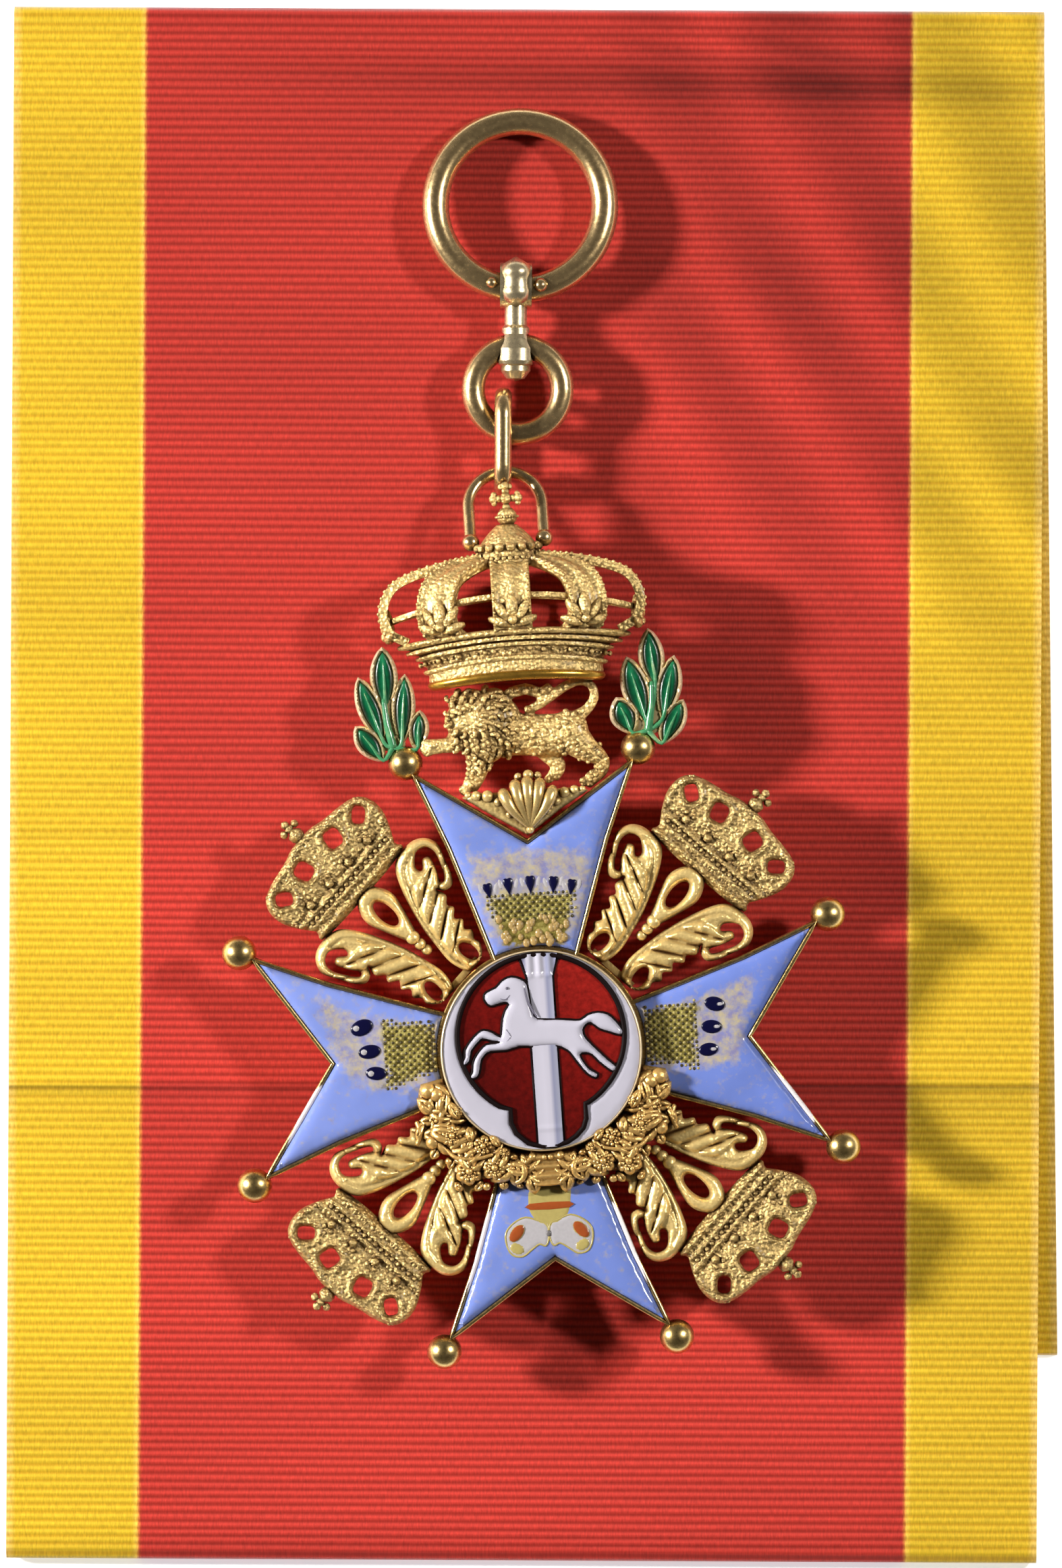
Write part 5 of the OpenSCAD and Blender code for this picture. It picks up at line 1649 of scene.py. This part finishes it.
class BADGE_OT_painting(PieceOperator, bpy.types.Operator):
    """Paint the feathers and the blooms on the arms"""

    bl_idname = "badge.painting"
    bl_label = "Painting"

    def execute(self, context):
        whole = {kind: [] for kind in PAINTED_PIECES}
        for name, eyes in EYES.items():
            place = Matrix.Rotation(ARMS[name] * QUARTER, 4, "Z")
            found = {"navy": [], "pale": []}
            for eye in eyes:
                self.eye(name, *eye, **found)
            found.update(dark=[self.dots(name, 0.0, 0.19)], gold=[self.dots(name, 0.5, 0.17)])
            for kind, pieces in found.items():
                part = join(kind, pieces)
                part.data.transform(place)
                whole[kind].append(part)
        self.lay("gold_scales", [self.bosses()], "scale_paint")
        self.blooms(whole["pale"], whole["gold"])
        for kind, (name, colour) in PAINTED_PIECES.items():
            self.lay(name, whole[kind], colour)
        return {"FINISHED"}

    def lay(self, name, pieces, colour):
        lay_on_badge(name, pieces, [colour], "blue_enamel", angle=60)

    def eye(self, name, x, y, half, length, turn, navy, pale):
        """One feather's eye, with pale corners on the upper arm and, on the others, a shine: a pale
        dot painted at its outer end as its highlight.
        """
        heart = name == "top"
        if heart:
            for s in (-1, 1):
                at = (x + s * 0.98 * half + 0.1 * s, y + 0.25 * length)
                pale.append(painted(oval(at, 0.2, 0.5, 14, -s * 0.25), 0, 0.05, 0.2))
        navy.append(painted(eye_line(x, y, half, length, turn, heart), 0.05, 0.1, 0.4, 0.14))
        if not heart:
            # The shine is a painted highlight
            wide = 0.28 if name == "left" else 0.16
            shine = oval((x - 0.12 * math.sin(turn), y + 0.5 * length), wide, 0.3, 16)
            pale.append(painted(shine, 0.15, 0.1, 0.4))

    def dots(self, name, shift, radius):
        """Crossing rows of dots over a fan."""
        low = 12.9 if name == "top" else 10.4
        rows = np.array([
            (x + (0.37 if row % 2 else 0) + shift * 0.74, y)
            for row, y in enumerate(np.arange(low, 15.5, 0.4)) for x in np.arange(-5, 5, 0.74)
        ])
        near = share_inside(FANS[name], *rows.T, 0.6)
        near += np.random.default_rng(2).uniform(-0.3, 0.3, len(rows))
        spots = [(x, y, PAINT_TOP - 0.02, radius) for x, y in rows[near > 0.45]]
        return beads("dots", spots, 1, (1, 1, 0.45))

    def bosses(self):
        """Gold scale work at the foot of the upper fan."""
        draw = np.random.default_rng(3).uniform
        spots = draw((-3.3, 10.3), (3.5, 13.1), (46, 2))
        rows = [(*spot, 1.44, r) for spot, r in zip(spots, draw(0.25, 0.5, 46))]
        return beads("bosses", rows, 2, (0.8, 1, 0.5))

    def blooms(self, pale, gold):
        """The little crown and the two blooms of the lower arm, in the badge's axes."""
        bloom = np.array([
            (0.15, -17.0), (1.0, -16.6), (2.2, -16.2), (3.4, -16.7), (4.2, -17.6), (4.2, -18.8),
            (3.7, -19.8), (2.7, -20.0), (1.8, -19.4), (1.0, -18.9), (0.4, -19.1), (0.05, -18.3),
        ])
        middle = -0.42
        reds = []
        gold.append(painted(rounded([
            (-1.95, -13.5), (-2.25, -14.6), (-2.2, -15.5), (-1.8, -16.3), (-0.9, -17.3),
            (0.1, -17.3), (1.3, -16.4), (1.75, -15.5), (1.9, -14.6), (1.8, -13.5), (-0.2, -13.3),
        ], 3), 0, 0.06, 0.3, 0.2))
        for side in (-1, 1):
            line = rounded(bloom[::-side] * (side, 1) + (middle, 0), 3)
            eye, foot = (side * 3.15 + middle, -17.7), (side * 3.2 + middle, -19.2)
            gold.append(wall_line("bloom_edge", line, PAINT_TOP - 0.02, 0.1))
            pale.append(painted(line, 0, 0.08, 0.3, 0.2))
            lean = -side * 0.85
            gold.append(painted(oval(eye, 1.15, 0.74, 26, lean), 0, 0.12, 0.3, 0.2))
            gold.append(painted(oval(foot, 0.85, 0.62, 18, side * 0.5), 0, 0.14, 0.3, 0.2))
            reds.append(painted(oval(eye, 0.95, 0.52, 24, lean), 0.16, 0.08, 0.4))
        bar = rounded([(-2.1, -15.5), (1.7, -15.5), (1.75, -14.9), (-2.15, -14.9)], 2)
        self.lay("red_paint", [*reds, painted(bar, 0.1, 0.03, 0.1, 0.2)], "red_paint")
        heart = beads("heart", [(-0.45, -17.9, PAINT_TOP + 0.05, 0.26)], 2, (1, 1.3, 0.4))
        self.lay("bloom_heart", [heart], "grey_paint")


# Crown: oval circlet, eight half arches, fleurons, cap, orb and cross

ARCH_LINE = [
    (0.78, 40.5), (0.89, 41.3), (0.935, 42.2), (0.955, 43.5), (0.92, 45.1), (0.84, 46.3),
    (0.68, 47.2), (0.46, 47.9), (0.2, 48.4),
]
# Right half of an arch's section: a bar with a raised edge and half its middle rib
ARCH_SECTION = [
    (0, 0.4), (0.11, 0.32), (0.2, 0.14), (0.33, 0.2), (0.4, 0.38), (0.47, 0.36), (0.5, 0.15),
    (0.5, -0.5),
]
CIRCLET = [
    # Half width, half depth and height of each turn of the moulding, up its outside and down
    # its inside
    (7.9, 3.9, 35.75), (8.25, 4.05, 35.85), (8.45, 4.2, 36.2), (8.55, 4.25, 36.7),
    (8.5, 4.2, 37.1), (8.55, 4.2, 37.25), (8.95, 4.45, 37.35), (9.05, 4.5, 37.55),
    (8.95, 4.45, 37.72), (8.6, 4.2, 37.8), (9.0, 4.3, 38.5), (9.1, 4.35, 38.62), (9.65, 4.7, 38.7),
    (9.75, 4.75, 38.88), (9.65, 4.7, 39.05), (9.3, 4.45, 39.12), (9.4, 4.5, 39.2),
    (10.55, 4.95, 39.28), (10.65, 5.0, 39.46), (10.55, 4.95, 39.62), (10.15, 4.7, 39.68),
    (10.3, 4.75, 39.76), (11.35, 5.2, 39.86), (11.5, 5.3, 40.08), (11.35, 5.2, 40.3),
    (10.9, 4.8, 40.4), (9.3, 3.7, 40.1), (6.9, 2.8, 35.75),
]
CROWN_RIM = [
    (7.9, 3.9, 35.7), (8.3, 4.15, 35.75), (8.6, 4.35, 35.95), (8.72, 4.42, 36.2),
    (8.6, 4.36, 36.5), (8.3, 4.2, 36.62), (7.5, 3.5, 36.6), (7.4, 3.4, 35.8),
]
CIRCLET_RISE = 0.9


def oval_band(name, section, rise, steps=144):
    """A closed oval band whose front and back run higher than its sides."""
    turns = np.arange(steps) * 2 * np.pi / steps
    rows = np.array(section)
    x, z = np.outer(np.cos(turns), rows[:, 0]), np.outer(np.sin(turns), rows[:, 1])
    y = rows[:, 2] + rise * np.sin(turns)[:, None] ** 2
    verts = np.stack([x, y, z], 2).reshape(-1, 3)
    return outwards(from_arrays(name, verts, quads(steps, len(rows), True)))


class BADGE_OT_crown(PieceOperator, bpy.types.Operator):
    """Build the large crown"""

    bl_idname = "badge.crown"
    bl_label = "Crown"

    def execute(self, context):
        settings = lengths_of("crown")
        a, b = settings.half_width, settings.half_depth
        parts = [oval_band("circlet", CIRCLET, CIRCLET_RISE)]
        tie = [(-0.3, 42.3), (0.0, 42.35), (0.05, 42.6), (0.0, 42.85), (-0.3, 42.9), (-0.6, 42.6)]
        parts.append(oval_band("tie", [(a * 0.93 + o, b * 0.93 + o, y) for o, y in tie], 1.9))
        grains = []
        for plan in np.radians((0, 54, 90, 126, 180, 234, 270, 306)):
            facing = math.atan2(a * math.sin(plan), b * math.cos(plan))
            out = np.array([math.cos(facing), 0, math.sin(facing)])
            side = np.array([-out[2], 0, out[0]])
            parts.append(self.arch(a, b, plan, side, settings.arch, grains))
            parts += self.fleuron(a, b, plan, side, out)
        # Gems and small beads round the circlet
        for k in range(60):
            c, s = math.cos(k * math.pi / 30), math.sin(k * math.pi / 30)
            wide, deep, r = (9.15, 4.35, 0.16) if k % 3 else (9.25, 4.4, 0.3)
            grains.append((wide * c, 38.27 + CIRCLET_RISE * s ** 2, deep * s, r))
        parts += [beads("grains", grains, 1), *self.top()]
        lay_on_badge("state_crown", parts, ["grained_gold"], "gilt", ["crown"], 55)
        rim = oval_band("crown_rim", CROWN_RIM, CIRCLET_RISE * 0.6)
        lay_on_badge("crown_rim", [rim], ["rim_gold"], "gilt", angle=50)
        return {"FINISHED"}

    def arch(self, a, b, plan, side, wide, grains):
        """Half an arch: a bar with raised edges and a rib, and beads along both edges."""
        line = rounded(ARCH_LINE, 7, False)
        way = (a * math.cos(plan), b * math.sin(plan))
        path = np.stack([way[0] * line[:, 0], line[:, 1], way[1] * line[:, 0]], 1)
        out = np.cross(np.gradient(path, axis=0), side)
        out /= np.linalg.norm(out, axis=1)[:, None]
        section = [(-s, t) for s, t in ARCH_SECTION[:0:-1]] + ARCH_SECTION
        count, last = len(section), len(path) - 1
        verts = np.vstack([
            [p + side * wide * s + o * t for s, t in section] for p, o in zip(path, out)
        ])
        faces = quads(len(path), count)
        faces += [tuple(range(count)), tuple(last * count + i for i in reversed(range(count)))]
        steps = np.cumsum(np.linalg.norm(np.diff(path, axis=0), axis=1))
        due = 0.3
        for p, o, reach in zip(path, out, steps):
            if reach >= due and p[1] > 41.2:
                due = reach + 0.5
                grains += [(*(p + side * wide * s + o * 0.34), 0.21) for s in (-0.45, 0.45)]
        return outwards(from_arrays("arch", verts, faces))

    def fleuron(self, a, b, plan, side, out):
        """Bud with five petals at an arch's foot."""
        c, s = math.cos(plan), math.sin(plan)
        foot = np.array([0.88 * a * c, 40.7 + CIRCLET_RISE * s ** 2, 0.9 * b * s])
        petals = [ball("heart", foot + out * 0.8 + (0, 0.55, 0), 0.5)]
        for across, up, forward, r in (
            (0, 3.1, 0.2, 0.7), (-1.7, 2.4, 0.2, 0.55), (1.7, 2.4, 0.2, 0.55),
            (-2.3, 0.75, 0, 0.5), (2.3, 0.75, 0, 0.5),
        ):
            reach = side * across + out * forward + (0, up, 0)
            line = [
                foot + out * (0.25 + 0.25 * math.sin(math.pi * k)) + reach * k
                for k in np.linspace(0.1, 1, 7)
            ]
            petals.append(taper_wire("petal", line, [0.5 * r, r, 0.95 * r, 0.35 * r], 8))
        return petals

    def top(self):
        """Cap, orb and cross with rounded ends."""
        cap = lathe("cap", [
            (0, 47.3), (3.1, 47.3), (3.4, 47.6), (3.45, 47.95), (3.2, 48.2), (3.1, 48.5),
            (2.95, 48.9), (2.75, 49.6), (2.3, 50.2), (1.75, 50.8), (1.2, 51.3), (0.95, 51.5),
            (0, 51.6),
        ], 48)
        cap.data.transform(Matrix.Rotation(-QUARTER, 4, "X"))
        middle, cross_y = 0.1, 54.05
        rows = [(middle, 52.25, 0, 1.0), (middle, 53.2, 0, 0.42), (middle, cross_y, 0, 0.6)]
        # Rings of beads: the cap's edge, the scallops that hang over the arches, the orb's band
        for x, y, radius, r, step in (
            (0, 48.15, 3.3, 0.26, 0.19), (0, 49.25, 2.95, 0.48, 0.37),
            (middle, 52.25, 1.05, 0.14, 0.26),
        ):
            rows += [
                (x + radius * math.cos(t), y, radius * math.sin(t), r)
                for t in np.arange(0, 6.2, step)
            ]
        for c, s in ((1, 0), (0, 1), (-1, 0)):
            for reach, off, r in (
                (0.7, 0, 0.38), (1.2, 0, 0.45), (1.15, -0.42, 0.3), (1.15, 0.42, 0.3)
            ):
                rows.append((middle + c * reach - s * off, cross_y + s * reach + c * off, 0, r))
        return [outwards(cap), beads("cap_beads", rows)]


# Lion walking to the left, cast in the round and chased with a curled mane

LION_LIMBS = [
    # Points, then the radius at even steps along them
    ([(-4.6, 32.0, 0), (-1.5, 31.2, 0), (1.5, 30.75, 0), (4.3, 30.7, 0)],
     [2.9, 2.6, 2.05, 2.1, 2.05]),
    ([(-4.6, 30.9, 0.9), (-6.6, 30.4, 1.3), (-9.0, 30.25, 1.2)], [1.3, 0.95, 0.75, 0.85]),
    ([(-3.9, 29.8, 0.2), (-4.3, 28.2, 0.4), (-4.7, 26.9, 0.2), (-5.3, 26.1, 0.2)],
     [1.8, 1.2, 0.9, 0.85]),
    ([(2.2, 29.8, -0.9), (3.1, 28.4, -0.9), (3.6, 27.5, -0.9), (2.9, 26.6, -0.9)],
     [1.5, 0.95, 0.65, 0.7]),
    ([(4.7, 30.7, 0.3), (6.2, 29.2, 0.6), (7.6, 28.1, 0.4), (7.8, 27.0, 0.2), (6.5, 26.1, 0.2)],
     [2.0, 1.35, 0.85, 0.62, 0.75]),
    ([(5.0, 32.0, 0), (6.6, 32.9, 0.2), (7.45, 34.1, 0.3), (7.2, 35.3, 0.3), (6.1, 35.75, 0.3),
      (4.7, 35.35, 0.4), (3.3, 34.5, 0.5), (2.0, 33.7, 0.6), (0.8, 33.2, 0.6)],
     [0.8, 0.55, 0.48, 0.45, 0.45, 0.5, 0.52, 0.5, 0.4]),
    ([(-0.8, 35.0, 0.4), (0.8, 35.3, 0.5), (2.2, 34.9, 0.5), (3.2, 35.5, 0.4)],
     [0.6, 0.6, 0.55, 0.4]),
]
LION_MASSES = [
    # Place and radius
    (-3.7, 32.4, 0.2, 3.1), (-4.6, 34.0, 0.4, 1.75), (-2.4, 34.1, 0.2, 1.6),
    (-3.6, 30.6, 0.4, 2.4), (-5.4, 32.6, 1.2, 1.9), (-5.9, 30.9, 0.8, 1.3), (-5.9, 34.4, 0.4, 1.0),
    (-6.4, 32.7, 1.9, 0.95), (-6.1, 31.9, 1.7, 0.75), (-5.3, 34.2, 1.8, 0.65),
    (-1.9, 32.7, 0.2, 2.05), (4.7, 31.0, 0.2, 2.0), (-9.3, 30.6, 1.1, 0.5), (-9.5, 30.1, 1.1, 0.45),
    (-9.2, 29.7, 1.1, 0.45), (-6.0, 25.9, 0.3, 0.45), (-5.7, 25.6, 0.4, 0.45),
    (5.9, 25.9, 0.3, 0.5), (6.5, 25.7, 0.3, 0.45), (2.5, 26.4, -0.8, 0.5),
]
LION_DETAILS = [
    # Eye, nose and brows, then the tail's tuft
    (-5.75, 33.35, 1.9, 0.24), (-6.95, 32.85, 1.75, 0.26), (-5.35, 33.75, 2.0, 0.3),
    (-6.5, 33.2, 1.8, 0.3), (1.7, 35.2, 0.6, 0.4), (0.8, 35.1, 0.6, 0.42), (2.5, 35.0, 0.6, 0.38),
    (0.0, 35.3, 0.5, 0.42), (0.9, 33.3, 0.5, 0.45),
]
# Distance from the head's middle and number of each ring of the mane's locks
MANE_RINGS = ((1.7, 11), (2.45, 16), (3.2, 20), (3.95, 24), (4.7, 27), (5.4, 30))


def blended(obj, voxel, rounds):
    """Melts a piece's overlapping masses into one skin."""
    remesh = obj.modifiers.new("skin", "REMESH")
    remesh.mode, remesh.voxel_size = "VOXEL", voxel
    soften = obj.modifiers.new("soften", "SMOOTH")
    soften.iterations, soften.factor = rounds, 0.5
    return apply_modifiers(obj)


def skin_height(obj, x, y):
    """Height of a piece's upper side over a place, or far below beside it."""
    hit, spot, _, _ = obj.ray_cast(Vector((x, y, 50)), Vector((0, 0, -1)))
    return spot.z if hit else -50


class BADGE_OT_lion(PieceOperator, bpy.types.Operator):
    """Cast the lion"""

    bl_idname = "badge.lion"
    bl_label = "Lion"

    def execute(self, context):
        masses = [curved_wire("limb", path, radii, 14, 5) for path, radii in LION_LIMBS]
        body = join("lion_skin", [*masses, beads("masses", LION_MASSES, 3)])
        # Flattened towards its middle plane, as a casting is
        body.data.transform(Matrix.Scale(0.62, 4, (0, 0, 1)))
        blended(body, 0.17, 3)
        parts = [body, self.mane(body), self.hide(body)]
        lay_on_badge("walking_lion", parts, ["grained_gold"], "gilt", ["lion"], 80)
        return {"FINISHED"}

    def mane(self, body):
        """Curled locks laid in rings round the head, over the skin."""
        line = [
            (-0.35, -0.05, 0), (0.0, 0.1, 0.14), (0.4, 0.08, 0.1), (0.62, -0.16, 0.02),
            (0.45, -0.34, 0),
        ]
        lock = curved_wire("lock", line, [0.2, 0.32, 0.32, 0.24, 0.14], 7, 3)
        places = []
        for ring, (reach, count) in enumerate(MANE_RINGS):
            for k in range(count):
                turn = k * 2 * math.pi / count + 0.3 * ring
                x, y = -5.2 + reach * math.cos(turn), 32.9 + reach * math.sin(turn) * 0.95
                z = skin_height(body, x, y)
                if z >= 0.35 and x <= -0.7 and not (x < -6.4 and y < 31.2):
                    grow = 0.78 + 0.1 * math.sin(k * 2.1)
                    places.append((x, y, z - 0.02, grow, turn + 0.5 * math.sin(k * 1.3)))
        return scattered("locks", lock, places)

    def hide(self, body):
        """Chased bumps over the flanks and legs, the tail's tuft, eye, nose and brow."""
        rows = []
        draw = np.random.default_rng(5).uniform
        for x, y in draw((-6, 25.9), (8.4, 32.9), (260, 2)):
            z = skin_height(body, x, y)
            if z > 0.4 and (x > -1.5 or y < 29.2):
                rows.append((x, y, z - 0.12, draw(0.22, 0.4)))
        return beads("hide", rows + LION_DETAILS, 1)


# Ground and scallop shell between the lion and the upper arm


class BADGE_OT_shell(PieceOperator, bpy.types.Operator):
    """Make the wedge of ground and its scallop shell"""

    bl_idname = "badge.shell"
    bl_label = "Shell"

    def execute(self, context):
        wedge = [
            (0.1, 21.05), (3.6, 23.5), (6.3, 25.05), (5.2, 25.5), (3.4, 25.4), (0, 25.5),
            (-3.4, 25.4), (-5.2, 25.55), (-6.1, 25.1), (-3.6, 23.4),
        ]

        def top(x, y, d):
            return 1.0 + 0.55 * dome(d, 0.6) + 0.1 * grain(x, y, 1.2)

        ground = relief("ground", wedge, -1.5, top, spacing=0.25)
        foot = np.array([0.35, 21.7, 1.6])
        flutes = []
        for k in (-2, -1, 0, 1, 2):
            tip = np.array([0.35 + 1.22 * k, 26.5 - 0.27 * k ** 2, 1.6])
            middle = foot + (tip - foot) * 0.5 + (0.16 * k, 0, 0.8)
            head = foot + (tip - foot) * 0.86 + (0.06 * k, 0, 0.65)
            path, radii = [foot, middle, head, tip], [0.16, 0.42, 0.62, 0.66, 0.45]
            flutes.append(curved_wire("flute", path, radii, 12, 6))
        lay_on_badge("shell_flutes", flutes, ["shell_gold"], "gilt", angle=65)
        knobs = beads("knobs", [
            (-3.6, 25.1, 1.6, 0.6), (-2.6, 24.5, 1.6, 0.45), (-4.7, 25.2, 1.5, 0.5),
            (3.9, 25.0, 1.5, 0.55), (3.1, 24.2, 1.5, 0.45), (4.9, 25.2, 1.4, 0.45),
            (-1.6, 23.2, 1.6, 0.35), (2.2, 23.3, 1.6, 0.35), (-5.5, 25.3, 1.3, 0.35),
            (5.7, 25.2, 1.3, 0.35), (0.35, 21.6, 1.6, 0.42), (0.5, 26.9, 1.2, 0.55),
            (1.4, 26.8, 1.1, 0.4), (-0.5, 26.8, 1.1, 0.4),
        ])
        parts = [ground, knobs]
        lay_on_badge("scallop_shell", parts, ["cast_gold"], "gilt", ["shell_base"], 65)
        return {"FINISHED"}


# Listing, registering and running


class BADGE_PT_panel(bpy.types.Panel):
    """Lists the building steps and their settings"""

    bl_label = "Sash Badge"
    bl_idname = "BADGE_PT_panel"
    bl_space_type = "VIEW_3D"
    bl_region_type = "UI"
    bl_category = "Badge"

    def draw(self, context):
        for step in STEPS:
            self.layout.operator(step.bl_idname)
        for name, kind in SETTINGS.items():
            box = self.layout.box()
            for key in kind.__annotations__:
                box.prop(getattr(context.scene, name), key)


STEPS = [
    BADGE_OT_stage, BADGE_OT_sash, BADGE_OT_rings, BADGE_OT_cross, BADGE_OT_painting,
    BADGE_OT_medallion, BADGE_OT_corners, BADGE_OT_laurels, BADGE_OT_garland, BADGE_OT_crown,
    BADGE_OT_lion, BADGE_OT_shell,
]
SETTINGS = {
    "badge_sash": SashSettings,
    "badge_cross": CrossSettings,
    "badge_medallion": MedallionSettings,
    "badge_crown": CrownSettings,
    "badge_finish": FinishSettings,
    "badge_stage": StageSettings,
}


def register():
    for kind in (*SETTINGS.values(), *STEPS, BADGE_PT_panel):
        bpy.utils.register_class(kind)
    for name, kind in SETTINGS.items():
        setattr(bpy.types.Scene, name, PointerProperty(type=kind))


def unregister():
    for name in SETTINGS:
        delattr(bpy.types.Scene, name)
    for kind in reversed((*SETTINGS.values(), *STEPS, BADGE_PT_panel)):
        bpy.utils.unregister_class(kind)


def main():
    register()
    for step in STEPS:
        group, call = step.bl_idname.split(".")
        getattr(getattr(bpy.ops, group), call)()


if __name__ == "__main__":
    main()
